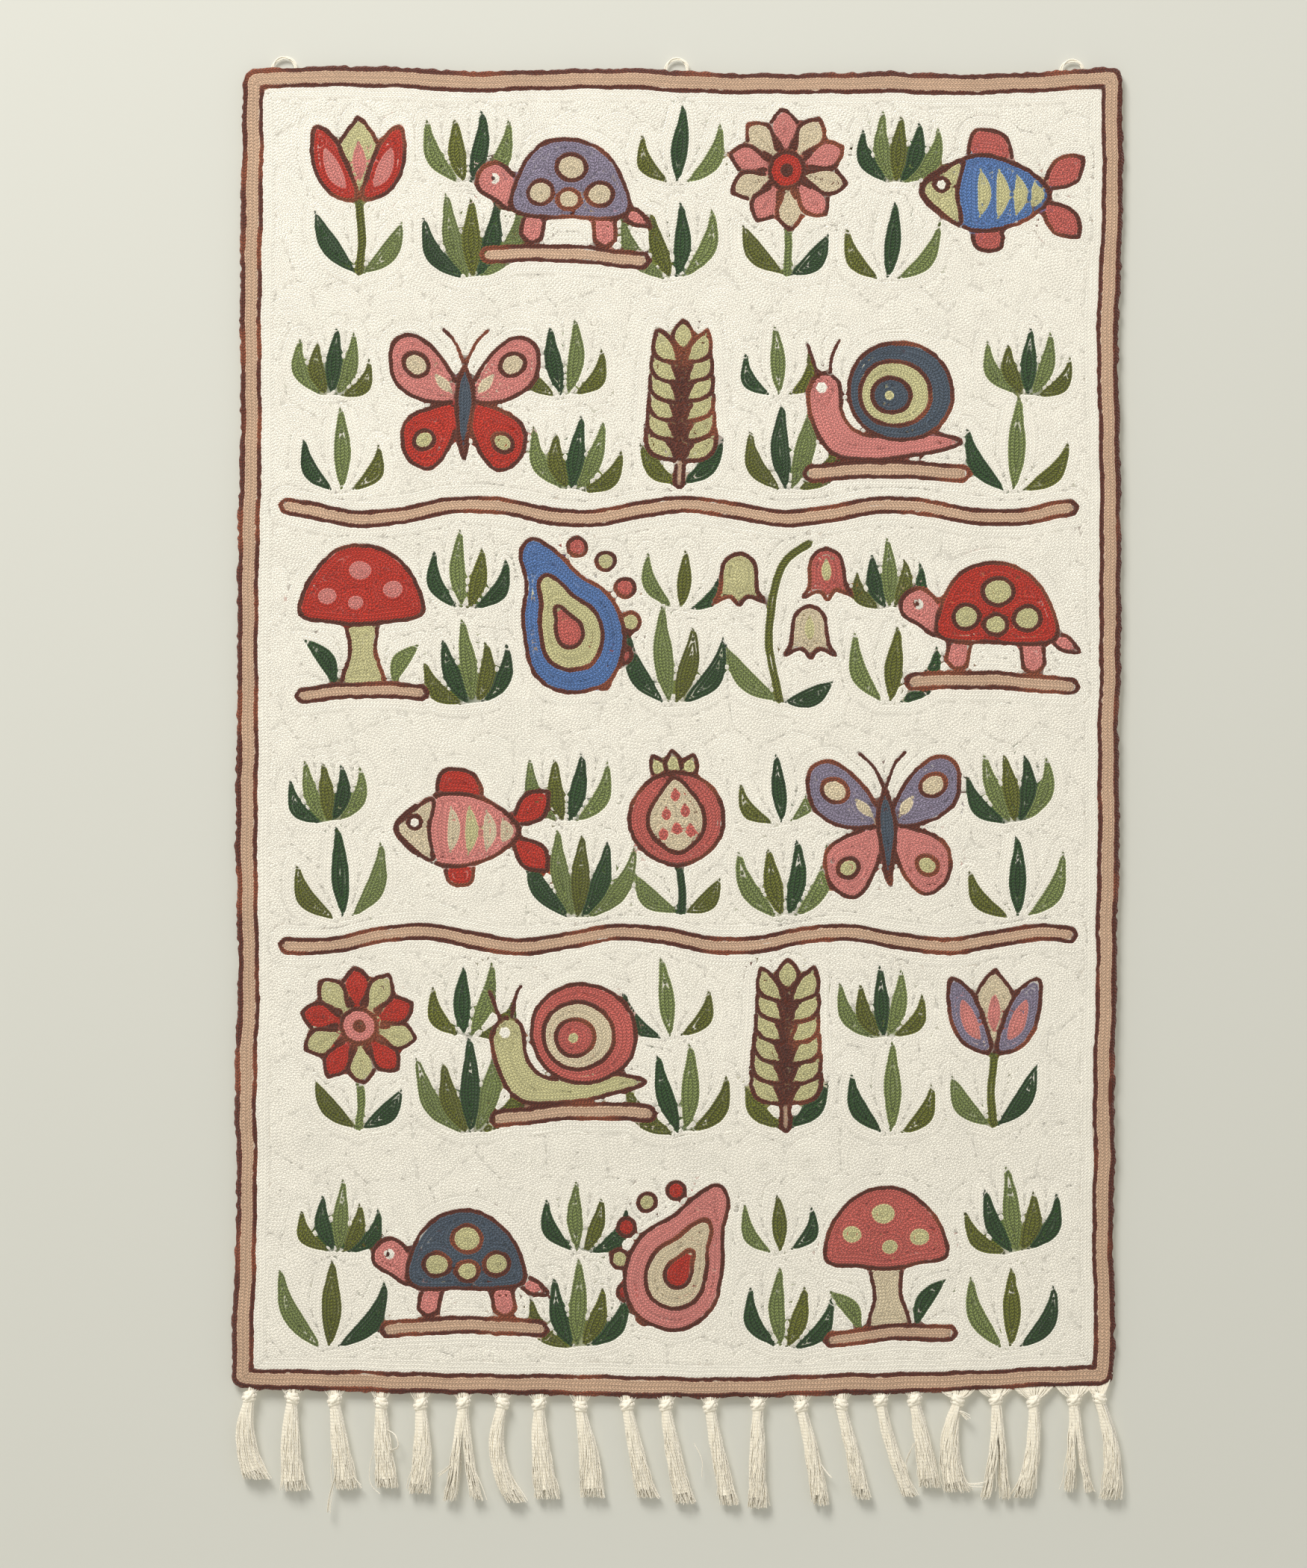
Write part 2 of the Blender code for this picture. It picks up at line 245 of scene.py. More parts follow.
def pomegranate(main, second, light):
    """A cut fruit with its seeds and crown."""
    patches = stalk(-50, -20, ("pine", "fern", "moss"))
    for lean in (-1, 1, 0):
        patches.append(Patch(leaf((lean * 5, 30), (lean * 13, 50 - abs(lean) * 3), 10, 0.5), second, True))
    patches.append(Patch(oval(0, 8, 29, 28, count=40), main, True))
    flesh = [(0, -13), (-15, -3), (-17, 12), (-7, 27), (0, 33), (7, 27), (17, 12), (15, -3)]
    patches.append(Patch(through(flesh), light, True))
    for x, z in ((0, 22), (-6, 11), (6, 12), (0, 2), (-8.5, -1), (8.5, 0)):
        patches.append(Patch(leaf((x, z - 4.6), (x, z + 4.6), 6.4, 0.42), main, False))
    return patches

def bellflower(main, second, light):
    """Three bells that hang from one bowed stem."""
    bow = [(-4, -50), (-10, -10), (-2, 30), (16, 44)]
    patches = [
        Patch(leaf((-3, -50), (-36, -16), 12, 0.5, 6), "fern", False),
        Patch(leaf((-2, -50), (28, -38), 12, 0.5, -4), "pine", False),
        Patch(strip(bow, 5), "moss", False),
    ]
    for x, z, wool in ((-27, 24, second), (25, 26, main), (14, -8, light)):
        bell = [(x, z + 14), (x - 9, z + 8), (x - 11, z - 8), (x - 15, z - 15), (x - 5, z - 11)]
        bell += [(x, z - 17), (x + 5, z - 11), (x + 15, z - 15), (x + 11, z - 8), (x + 9, z + 8)]
        patches.append(Patch(through(bell), wool, True))
        patches.append(Patch(leaf((x, z - 7), (x, z + 9), 6, 0.45), "straw", False))
    return patches

# %% Fruits of the field
def barley(main, second, light):
    """An ear of corn: pairs of grains up a stem."""
    patches = [
        Patch(leaf((0, -50), (-25, -24), 11, 0.5, 5), "moss", False),
        Patch(leaf((0, -50), (26, -20), 11, 0.5, -5), "pine", False),
        Patch(strip([(0, -50), (0, -30)], 5), "camel", True),
        Patch(leaf((0, -37), (0, 50), 30, 0.45, 0, 0.3), "bark", False),
    ]
    for i in range(6):
        low = -35 + 12 * i
        size = 1.0 - 0.05 * i
        for side in (-1, 1):
            grain = leaf((side * 2, low), (side * 21 * size, low + 21), 12.5, 0.5, -side * 3, 0.2)
            patches.append(Patch(grain, (light, second)[i % 2], True))
    patches.append(Patch(leaf((0, 32), (0, 51), 13, 0.5, 0, 0.2), light, True))
    return patches

def mushroom(main, second, light):
    """A spotted cap on a stout stem, on a strip of ground."""
    cap = [(-37, 2), (-33, 22), (-17, 40), (0, 45), (17, 40), (33, 22), (37, 2), (18, -2), (0, -4), (-18, -2)]
    stem = [(-9, 0), (-8, -20), (-13, -40), (0, -43), (13, -40), (8, -20), (9, 0)]
    patches = [
        Patch(leaf((-16, -42), (-36, -12), 11, 0.5, -4), "pine", False),
        Patch(leaf((18, -42), (36, -16), 11, 0.5, 4), "fern", False),
        Patch(through(stem), light, True),
        Patch(strip([(-38, -46), (0, -44), (37, -47)], 8), "camel", True),
        Patch(through(cap), main, True),
    ]
    for x, z, size in ((-21, 14, 6), (0, 29, 7), (20, 17, 6), (-3, 9, 5)):
        patches.append(Patch(oval(x, z, size, size * 0.85), second, False))
    return patches

def paisley(main, second, light):
    """A curled drop within a drop, with beads along its back."""
    outer_side = [(0, -44), (-24, -36), (-33, -12), (-24, 12), (-4, 26), (8, 38), (23, 46)]
    drop = np.array(outer_side + [(30, 36), (26, 18), (27, -4), (20, -32)], float)
    middle = drop.mean(0)
    patches = []
    for angle in range(100, 262, 27):
        at = middle + turned([(43, 0)], angle)[0] * (0.92, 1.0)
        patches.append(Patch(oval(at[0] - 1, at[1] - 5, 5.6, 5.6), "straw" if angle % 2 else second, True))
    patches.append(Patch(through(drop), main, True))
    patches.append(Patch(through((drop - middle) * 0.62 + middle + (-1, -5)), light, True))
    patches.append(Patch(through((drop - middle) * 0.27 + middle + (-2, -9)), second, True))
    return patches

# %% Small beasts
def butterfly(main, second, light):
    """Four spotted wings about a slim body."""
    upper = [(3, 4), (12, 26), (30, 42), (43, 36), (42, 16), (26, 4)]
    lower = [(3, 0), (22, -2), (36, -12), (34, -30), (20, -38), (8, -24)]
    patches = []
    for side in (-1, 1):
        for wing, wool in ((lower, second), (upper, main)):
            patches.append(Patch(through([(side * x, z) for x, z in wing][::side]), wool, True))
        patches.append(Patch(oval(side * 29, 25, 8, 6.5, side * 35), light, True))
        patches.append(Patch(oval(side * 23, -21, 6.5, 5.5, side * -30), "straw", True))
        patches.append(Patch(leaf((side * 7, 7), (side * 18, 20), 6, 0.5), light, False))
    patches.append(Patch(leaf((0, -32), (0, 26), 10, 0.6, 0, 0.3), "slate", True))
    return patches + [
        Stroke(through([(1, 26), (6, 38), (14, 46)], closed=False), "bark"),
        Stroke(through([(-1, 26), (-6, 38), (-14, 46)], closed=False), "bark"),
    ]

def tortoise(main, second, light):
    """A domed shell of plates over short legs, on a strip of ground."""
    shell = [(-34, -14), (-31, 8), (-17, 25), (2, 31), (20, 25), (32, 8), (34, -14), (0, -17)]
    head = [(30, -6), (36, 8), (46, 14), (56, 8), (56, -2), (46, -8), (36, -14)]
    patches = [
        Patch(leaf((-32, -12), (-50, -20), 9, 0.4), second, True),
        Patch(through(head), second, True),
        Patch(strip([(-20, -12), (-23, -30)], 13), second, True),
        Patch(strip([(20, -12), (23, -30)], 13), second, True),
        Patch(strip([(-47, -41), (0, -39), (50, -42)], 8.5), "camel", True),
        Patch(through(shell), main, True),
    ]
    for x, z, size in ((-18, -2, 8), (0, 14, 9), (18, -2, 8), (0, -6, 7)):
        patches.append(Patch(oval(x, z, size, size * 0.92, count=18), light, True))
    return patches + [
        Patch(oval(47, 4.5, 3.2, 3.2), "cream", False),
        Patch(oval(47.5, 4.5, 1.5, 1.5), "bark", False),
    ]

def fish(main, second, light):
    """A fish with a row of scales, fins and a forked tail."""
    body = [(44, 0), (30, 15), (8, 22), (-14, 17), (-30, 5), (-30, -5), (-14, -17), (8, -22), (30, -15)]
    cheek = [(43, 0), (31, 13), (20, 18), (23, 0), (20, -18), (31, -13)]
    patches = [
        Patch(leaf((-26, 2), (-50, 24), 17, 0.6), second, True),
        Patch(leaf((-26, -2), (-50, -24), 17, 0.6), second, True),
        Patch(through([(-8, 16), (-4, 34), (14, 36), (16, 18)]), second, True),
        Patch(through([(-2, -16), (-4, -32), (10, -32), (12, -18)]), second, True),
        Patch(through(body), main, True),
        Patch(through(cheek), light, True),
        Patch(oval(32, 4, 4, 4), "cream", True),
    ]
    for x, half in ((12, 15), (1, 16), (-10, 13), (-20, 8)):
        patches.append(Patch(leaf((x - 2, -half), (x - 2, half), 8, 0.5, 3), (light, "straw")[x % 2], False))
    return patches

def snail(main, second, light):
    """A round shell in rings over a long foot, on a strip of ground."""
    foot = [(-44, -24), (-20, -18), (12, -20), (26, -8), (29, 12)]
    foot += [(40, 16), (47, 4), (42, -16), (28, -33), (-10, -33)]
    patches = [
        Patch(through(foot), second, True),
        Patch(strip([(-46, -42), (0, -40), (46, -43)], 8.5), "camel", True),
        Patch(oval(-8, 6, 31, 29, 12, 40), main, True),
        Patch(oval(-5, 5, 21, 19.5, 12), light, True),
        Patch(oval(-3, 4, 11.5, 10.5, 12), main, True),
        Patch(oval(-2, 4, 3, 3), "straw", False),
        Patch(oval(39, 8, 3.2, 3.2), "cream", False),
    ]
    return patches + [
        Stroke(through([(34, 16), (32, 28), (28, 36)], closed=False), "bark"),
        Stroke(through([(41, 15), (45, 27), (48, 34)], closed=False), "bark"),
    ]

# %% Sprigs
GREENS = ["moss", "pine", "fern"]

def sprig(blades, height, spread, first):
    """A tuft of long leaves that part from one foot."""
    patches = []
    for i in sorted(range(blades), key=lambda i: -abs(i - (blades - 1) / 2)):
        lean = (i - (blades - 1) / 2) / max(1, (blades - 1) / 2)
        rise = height * (1 - 0.3 * abs(lean) + 0.1 * ((i * 7 + first) % 3 - 1))
        tip = (lean * spread, rise)
        wool = GREENS[(i + first) % 3]
        patches.append(Patch(leaf((lean * 6, 0), tip, height * 0.14 + 4.4, 0.45, -lean * 8, 0.36), wool, False))
    return patches

# %% [markdown]
# ## The garden's layout
# The figures stand in six rows of four and three by turns, and two waved bands run between them. A table
# says which figure stands where and in which wools. A little seeded unevenness in place, turn and size
# keeps the look of work laid out by eye.

# %% Figures in their rows
FIGURES = {
    figure.__name__: figure
    for figure in (
        tulip, daisy, pomegranate, bellflower, barley, mushroom, paisley, butterfly, tortoise, fish, snail,
    )
}
SCHEMES = {
    "warm": ("madder", "rose", "straw"),
    "pink": ("rose", "madder", "sand"),
    "coral": ("coral", "straw", "sand"),
    "cool": ("mist", "rose", "sand"),
    "blue": ("blue", "coral", "straw"),
    "pale": ("sand", "straw", "straw"),
    "deep": ("slate", "rose", "straw"),
}
ROWS = [
    (-84, "tulip warm, tortoise cool, daisy pink, fish blue"),
    (-231, "butterfly pink, barley pale, snail deep"),
    (-378, "mushroom warm, paisley blue, bellflower coral, tortoise warm"),
    (-526, "fish pink, pomegranate coral, butterfly cool"),
    (-675, "daisy warm, snail coral, barley pale, tulip cool"),
    (-824, "tortoise deep, paisley pink, mushroom coral"),
]
BANDS = [-305, -601]
BAND_WIDTH = 9.5
STEP = 146
MIDDLE = -3
GROW = 1.16

def placed(patches, x, z, turn=0.0, grow=1.0, mirror=False):
    """Moves a figure's patches to their place on the cloth."""
    flip = np.array([-1.0 if mirror else 1.0, 1.0])
    return [p._replace(line=turned(p.line * flip * grow, turn) + (x, z)) for p in patches]

def lay_out():
    """Every patch and stroke of the pattern, in millimetres, from the lowest to the topmost."""
    rng = np.random.default_rng(11)
    bands, tufts, figures = [], [], []
    for band, z in enumerate(BANDS):
        waves = [(x, z + 5 * math.cos((x + 40 * band) / STEP * 2 * math.pi)) for x in range(-276, 271, 13)]
        bands.append(Patch(strip(waves, BAND_WIDTH, 3), "camel", True))
    for row, (z, names) in enumerate(ROWS):
        names = names.split(", ")
        left = MIDDLE - STEP * (len(names) - 1) / 2
        for column, name in enumerate(names):
            figure, scheme = name.split()
            x, sway = left + STEP * column, rng.uniform(-1, 1, 4)
            patches = FIGURES[figure](*SCHEMES[scheme])
            place = (x + 2.5 * sway[0], z + 2 * sway[1], 3 * sway[2], GROW + 0.03 * sway[3])
            figures += placed(patches, *place, mirror=(row + column) % 2 == 1)
        for column in range(len(names) + 1):
            outer = column in (0, len(names))
            if outer and len(names) == 4:
                continue
            x = left + STEP * (column - 0.5) - 17 * ((column == 0) - (column == len(names)))
            for low, height in ((-60, 62), (6, 52)):
                first = row + column + (low > 0)
                height = height * rng.uniform(0.86, 1.1)
                tuft = sprig(3 + (first * 2 + row) % 3, height, height * rng.uniform(0.46, 0.6), first)
                tufts += placed(tuft, x + rng.uniform(-6, 6), z + low, rng.uniform(-9, 9))
    return bands + tufts + figures

pattern = lay_out()
print("pattern:", len(pattern), "patches and strokes")

# %% [markdown]
# ## How far from the edge
# The stitcher goes once round a figure and then follows that row inwards, a row's width at a time, until
# the figure is full. So what is needed is the distance to the figure's edge, and each row is a line of
# even distance. Offsetting the lines themselves tangles them at corners. A grid of distances doesn't,
# and where one figure covers another the larger of two distances cuts the lower one away cleanly.

# %% Distances to closed lines
CELL = 0.8
ROW = 2.6
EDGE_ROW = 3.3
HALF_EDGE = 1.5
MARGIN = 3.5 * ROW + 2
XS = np.arange(-314, 308, CELL)
ZS = np.arange(-922, 6, CELL)

def distance(line, xs, zs):
    """Distance to a closed line on a grid, in millimetres, below zero inside it."""
    x, z = np.meshgrid(xs, zs)
    nearest = np.full(x.shape, 1e9)
    inside = np.zeros(x.shape, bool)
    for (ax, az), (bx, bz) in zip(line, np.roll(line, -1, 0)):
        dx, dz = bx - ax, bz - az
        along = np.clip(((x - ax) * dx + (z - az) * dz) / (dx * dx + dz * dz + 1e-9), 0, 1)
        nearest = np.minimum(nearest, (x - ax - along * dx) ** 2 + (z - az - along * dz) ** 2)
        if az != bz:
            inside ^= ((az > z) != (bz > z)) & (x < ax + (z - az) / (bz - az) * dx)
    return np.where(inside, -1, 1) * np.sqrt(nearest)

def window(line, margin):
    """The part of the grid around a line, as two slices (rows, columns)."""
    low, high = line.min(0) - margin, line.max(0) + margin
    columns = slice(max(0, int((low[0] - XS[0]) / CELL)), int((high[0] - XS[0]) / CELL) + 2)
    rows = slice(max(0, int((low[1] - ZS[0]) / CELL)), int((high[1] - ZS[0]) / CELL) + 2)
    return rows, columns

BORDER = [
    # wool, width, distance from the cloth's edge
    ("bark", EDGE_ROW, 1.65),
    ("camel", 2.75, 4.6), ("camel", 2.75, 7.3), ("camel", 2.75, 10.0),
    ("bark", EDGE_ROW, 13.0),
]
BORDER_WIDTH = 14.6
inset = -distance(OUTLINE, XS, ZS)
ground = inset - BORDER_WIDTH
windows, fields = [], []
for patch in pattern:
    place = window(patch.line, MARGIN)
    edge = HALF_EDGE if isinstance(patch, Stroke) or patch.edged else 0.0
    if isinstance(patch, Stroke):
        closed = np.concatenate([patch.line, patch.line[::-1]])
        field = np.abs(distance(closed, XS[place[1]], ZS[place[0]])) - edge
    else:
        field = distance(patch.line, XS[place[1]], ZS[place[0]]) - edge
    windows.append(place)
    fields.append(field)
    ground[place] = np.minimum(ground[place], field)
print("distances on", ground.shape, "cells; ground left:", round((ground > 0).mean() * 100), "%")

# %% [markdown]
# ## Lines of even distance
# A line of even distance crosses the sides of the grid's squares. In each square the crossings are joined
# in pairs, and the pairs are then followed from square to square into long lines.

# %% Follow a level through a grid
def paired(up):
    """The two crossed sides that each square joins. Sides are numbered across first, then upwards."""
    rows, columns = up.shape
    across = up[:, :-1] != up[:, 1:]
    upward = up[:-1] != up[1:]
    first = rows * (columns - 1)
    number_across = np.arange(rows * (columns - 1)).reshape(rows, columns - 1)
    number_upward = first + np.arange((rows - 1) * columns).reshape(rows - 1, columns)
    sides = np.stack([
        np.where(across[:-1], number_across[:-1], -1), np.where(upward[:, :-1], number_upward[:, :-1], -1),
        np.where(across[1:], number_across[1:], -1), np.where(upward[:, 1:], number_upward[:, 1:], -1),
    ], -1).reshape(-1, 4)
    crossed = (sides >= 0).sum(1)
    single = np.sort(sides[crossed == 2], 1)[:, 2:]
    double = sides[crossed == 4]
    return np.concatenate([single, double[:, :2], double[:, 2:]]), first

def followed(pairs):
    """Joins pairs of numbers into runs. Returns (numbers, whether it is a ring)."""
    meets = {}
    for a, b in pairs.tolist():
        meets.setdefault(a, []).append(b)
        meets.setdefault(b, []).append(a)
    runs, seen = [], set()
    ends = [n for n, near in meets.items() if len(near) == 1]
    for start in ends + list(meets):
        if start in seen:
            continue
        run = [start]
        seen.add(start)
        while True:
            ahead = [n for n in meets[run[-1]] if n not in seen]
            if not ahead:
                break
            run.append(ahead[0])
            seen.add(ahead[0])
        runs.append((np.array(run), len(meets[start]) == 2 and len(run) > 2))
    return runs

def level_lines(field, level, xs, zs):
    """Every line on which the field has the level, as (points, ring)."""
    field = np.where(field == level, field + 1e-6, field) - level
    pairs, first = paired(field > 0)
    if not len(pairs):
        return []
    columns = field.shape[1]
    lines = []
    for numbers, ring in followed(pairs):
        flat = numbers < first
        low = np.where(flat, numbers, numbers - first)
        i = np.where(flat, low // (columns - 1), low // columns)
        j = np.where(flat, low % (columns - 1), low % columns)
        i2, j2 = np.where(flat, i, i + 1), np.where(flat, j + 1, j)
        a, b = field[i, j], field[i2, j2]
        share = a / (a - b)
        points = np.stack([xs[j] + share * (xs[j2] - xs[j]), zs[i] + share * (zs[i2] - zs[i])], 1)
        lines.append((points, ring))
    return lines

# %% [markdown]
# ## Rows of stitches
# A row keeps its line, its wool, its width and how it ends. The points are spaced evenly, so that every
# row bends smoothly. The brown outlines get twice as many, because their ragged sides have to show.

# %% Keep rows
Row = namedtuple("Row", "line wool width ring")
SPACING = 3.0
rows = []

def even(points, ring, spacing=SPACING):
    """The same line with evenly spaced points. A ring gets its first two points again at its end."""
    if ring:
        points = np.concatenate([points, points[:1]])
    for _ in range(2):
        if len(points) > 6:
            points[1:-1] = (points[:-2] + 2 * points[1:-1] + points[2:]) / 4
    run = np.concatenate([[0], np.cumsum(np.linalg.norm(np.diff(points, axis=0), axis=1))])
    if run[-1] < 2.0:
        return None
    tight = spacing if run[-1] > 40 else spacing * 0.7
    count = max(6 if ring else 2, int(round(run[-1] / tight)))
    places = np.linspace(0, run[-1], count + 1)
    points = np.stack([np.interp(places, run, points[:, 0]), np.interp(places, run, points[:, 1])], 1)
    return np.concatenate([points, points[1:2]]) if ring else points

def add_row(points, wool, width=ROW, ring=False, least=2.0):
    line = even(points, ring, SPACING / 2 if wool == "bark" else SPACING)
    if line is not None and np.linalg.norm(np.diff(line, axis=0), axis=1).sum() > least:
        rows.append(Row(line, wool, width, ring))

def stretches(points, good, ring):
    """The stretches of a line where good holds, as (points, ring)."""
    if good.all():
        return [(points, ring)]
    if not good.any():
        return []
    if ring:
        shift = int(np.argmin(good))
        points, good = np.roll(points, -shift, 0), np.roll(good, -shift)
    breaks = np.flatnonzero(np.diff(good.astype(int))) + 1
    parts = zip(np.split(points, breaks), np.split(good, breaks))
    return [(part, False) for part, kept in parts if kept[0] and len(part) > 1]

# %% The border
for wool, width, depth in BORDER:
    for points, ring in level_lines(inset, depth, XS, ZS):
        add_row(points, wool, width, ring)
print("border rows:", len(rows))

# %% [markdown]
# ## Filling the figures
# Each patch is cut back where later patches cover it. The rows are spread evenly over what is left, so
# the last two meet in the middle without a bare line. A brown row then goes round every edged patch.

# %% Fill every patch
def within(part, place):
    """A part of the whole grid, as slices of the smaller place that holds it."""
    return tuple(slice(p.start - whole.start, p.stop - whole.start) for p, whole in zip(part, place))


for n, patch in enumerate(pattern):
    place, field = windows[n], fields[n].copy()
    xs, zs = XS[place[1]], ZS[place[0]]
    if isinstance(patch, Stroke):
        add_row(patch.line, patch.wool, EDGE_ROW * 0.8)
        continue
    fill = field + (2 * HALF_EDGE if patch.edged else 0.0)
    hidden = np.full(fill.shape, 1e9)
    for later in range(n + 1, len(pattern)):
        other = windows[later]
        r0, r1 = max(place[0].start, other[0].start), min(place[0].stop, other[0].stop, len(ZS))
        c0, c1 = max(place[1].start, other[1].start), min(place[1].stop, other[1].stop, len(XS))
        if r0 < r1 and c0 < c1:
            both = (slice(r0, r1), slice(c0, c1))
            mine, theirs = within(both, place), within(both, other)
            hidden[mine] = np.minimum(hidden[mine], fields[later][theirs])
    fill = np.maximum(fill, -hidden)
    depth = -fill.min()
    count = max(1, round(depth / ROW))
    width = depth / count
    if depth > 0.45 * ROW:
        for k in range(count):
            for points, ring in level_lines(fill, -(k + 0.5) * width, xs, zs):
                add_row(points, patch.wool, width, ring)
    if patch.edged:
        loop = np.concatenate([patch.line, patch.line[:1]])
        run = np.concatenate([[0], np.cumsum(np.linalg.norm(np.diff(loop, axis=0), axis=1))])
        places = np.arange(0, run[-1], 1.5)
        loop = np.stack([np.interp(places, run, loop[:, 0]), np.interp(places, run, loop[:, 1])], 1)
        clear = on_grid(hidden, loop[:, 0], loop[:, 1], xs, zs) > -0.4
        for points, ring in stretches(loop, clear, True):
            add_row(points, "bark", EDGE_ROW, ring)
print("rows with the figures:", len(rows))

# %% [markdown]
# ## Filling the ground
# The off-white ground first follows every edge for three rows. What is left between the figures is
# filled with whorls, rounds of rows about scattered middles, which show faintly on the real cloth.

# %% Fill the ground
ECHOES = 3
for k in range(ECHOES):
    for points, ring in level_lines(ground, (k + 0.5) * ROW, XS, ZS):
        add_row(points, "cream", ROW, ring)

def lengthened(points, extra):
    """An open line with both ends drawn out, so that its ends tuck under what they meet."""
    start, end = points[0] - points[1], points[-1] - points[-2]
    start, end = start / np.linalg.norm(start), end / np.linalg.norm(end)
    return np.concatenate([[points[0] + start * extra], points, [points[-1] + end * extra]])

rng = np.random.default_rng(5)
WHORL, ROUNDS, TUCK = 44.0, 13, 1.1
astray = WHORL / 4
middles = np.array([
    (x + WHORL / 2 * (row % 2) + rng.uniform(-astray, astray), z + rng.uniform(-astray, astray))
    for row, z in enumerate(np.arange(-900, 0, WHORL * 0.87))
    for x in np.arange(-300, 300, WHORL)
])
for n, middle in enumerate(middles):
    for k in range(ROUNDS):
        radius = (k + 0.5) * ROW
        angle = np.linspace(0, 2 * math.pi, max(7, int(2 * math.pi * radius / ROW)), endpoint=False)
        circle = middle + radius * np.stack([np.cos(angle), np.sin(angle)], 1)
        nearest = np.linalg.norm(circle[:, None] - middles[None], axis=2).argmin(1)
        good = (nearest == n) & (on_grid(ground, circle[:, 0], circle[:, 1], XS, ZS) > (ECHOES - 0.1) * ROW)
        for points, ring in stretches(circle, good, True):
            add_row(points if ring else lengthened(points, TUCK), "cream", ROW, ring)
metres = sum(np.linalg.norm(np.diff(r.line, axis=0), axis=1).sum() for r in rows) / 1000
print("rows in all:", len(rows), "and", round(metres), "m of stitching")

# %% [markdown]
# ## Odd short rows
# Where a figure narrows, or where whorls meet, slivers stay bare. A stitcher covers them with odd short
# rows. So the nearest row is looked up for every place on the cloth, and wherever a gap lies open, a line
# between the rows becomes a row of its own in the colour of that place. Wide gaps come before narrow ones.

# %% Which wool belongs where
painted_as = np.full(ground.shape, WOOL_LIST.index("cream"))
painted_as[inset < BORDER_WIDTH] = WOOL_LIST.index("bark")
painted_as[(inset < BORDER_WIDTH - EDGE_ROW) & (inset > EDGE_ROW)] = WOOL_LIST.index("camel")
for patch, place, field in zip(pattern, windows, fields):
    view = painted_as[place]
    inner = -2 * HALF_EDGE if isinstance(patch, Patch) and patch.edged else 0.0
    view[field < 0] = WOOL_LIST.index("bark")
    view[field < inner] = WOOL_LIST.index(patch.wool)

def wool_at(points):
    """The number of the wool that belongs at each point."""
    j = np.clip(((points[:, 0] - XS[0]) / CELL).round().astype(int), 0, len(XS) - 1)
    i = np.clip(((points[:, 1] - ZS[0]) / CELL).round().astype(int), 0, len(ZS) - 1)
    return painted_as[i, j]

# %% Cover the slivers
MENDS = (1.9, 1.9, 1.4, 1.2)

def open_width():
    """How far each cell lies outside the nearest row, in millimetres."""
    starts = np.concatenate([r.line[:-1] for r in rows])
    ends = np.concatenate([r.line[1:] for r in rows])
    half = np.concatenate([np.full(len(r.line) - 1, r.width / 2) for r in rows])
    spots = np.concatenate([starts, (starts + ends) / 2])
    half = np.concatenate([half, half])
    i, j = ((spots[:, 1] - ZS[0]) / CELL).astype(int), ((spots[:, 0] - XS[0]) / CELL).astype(int)
    gap = np.full(ground.shape, 5.0)
    for down in range(-3, 5):
        for right in range(-3, 5):
            a, b = np.clip(i + down, 0, len(ZS) - 1), np.clip(j + right, 0, len(XS) - 1)
            away = np.hypot(XS[b] - spots[:, 0], ZS[a] - spots[:, 1]) - half
            np.minimum.at(gap, (a, b), away)
    return gap

def stub(points, length=2.6):
    """A short line through the middle of a small ring, along its longer way."""
    middle = points.mean(0)
    away = points - middle
    far = away[np.linalg.norm(away, axis=1).argmax()]
    far = far / max(np.linalg.norm(far), 1e-6) * length / 2
    return np.array([middle - far, middle, middle + far])

before = len(rows)
for width in MENDS:
    bare = np.minimum(open_width(), inset - 0.3)
    for points, ring in level_lines(bare, width / 2 - 0.25, XS, ZS):
        label = wool_at(points)
        for number in np.unique(label):
            wool = WOOL_LIST[number]
            for part, closed in stretches(points, label == number, ring):
                round_it = np.linalg.norm(np.diff(part, axis=0), axis=1).sum()
                if closed and round_it < 5.0:
                    part, closed = stub(part), False
                add_row(part, wool, width, closed, least=3.0 if wool == "cream" else 1.5)
print("short rows added:", len(rows) - before)

# %% [markdown]
# ## From rows to relief
# Chain stitch stands up from the cloth as a round cord. Full loops of yarn, modelled one by one, would
# take millions of faces. A row is made as a low ridge instead, three points wide, and its loops are left
# to the finish. Each ridge reaches a little under its neighbours, so no cloth shows between two rows.
# The hand isn't steady, so every line wanders a little, and all of them wander together, which keeps the
# rows side by side. The brown outlines are ragged, a stitch a little wider here and narrower there.

# %% Ridges
STITCH = 2.3
CREST, VALLEY, WHITE_VALLEY = -0.25, 0.75, 0.75 * 0.62
OVERLAP = 1.3

def wander(points):
    """The unsteadiness of the hand: a slow drift that neighbours share, in millimetres."""
    x, z = points[:, 0], points[:, 1]
    dx = 0.42 * np.sin(x / 13 + z / 31 + 1.3) + 0.3 * np.sin(z / 7.3 - x / 19)
    dz = 0.42 * np.sin(z / 14 - x / 27 + 0.4) + 0.3 * np.sin(x / 6.7 + z / 17)
    return points + np.stack([dx, dz], 1)

def drift(x, z, length):
    """A smooth value from -1 to 1 that changes over about a length, in millimetres."""
    a, b = x / length, z / length
    return (np.sin(a * 1.7 + 1.3 * np.sin(b * 1.1)) + np.sin(b * 2.1 + 1.7 * np.sin(a * 0.9 + 2.0))) / 2

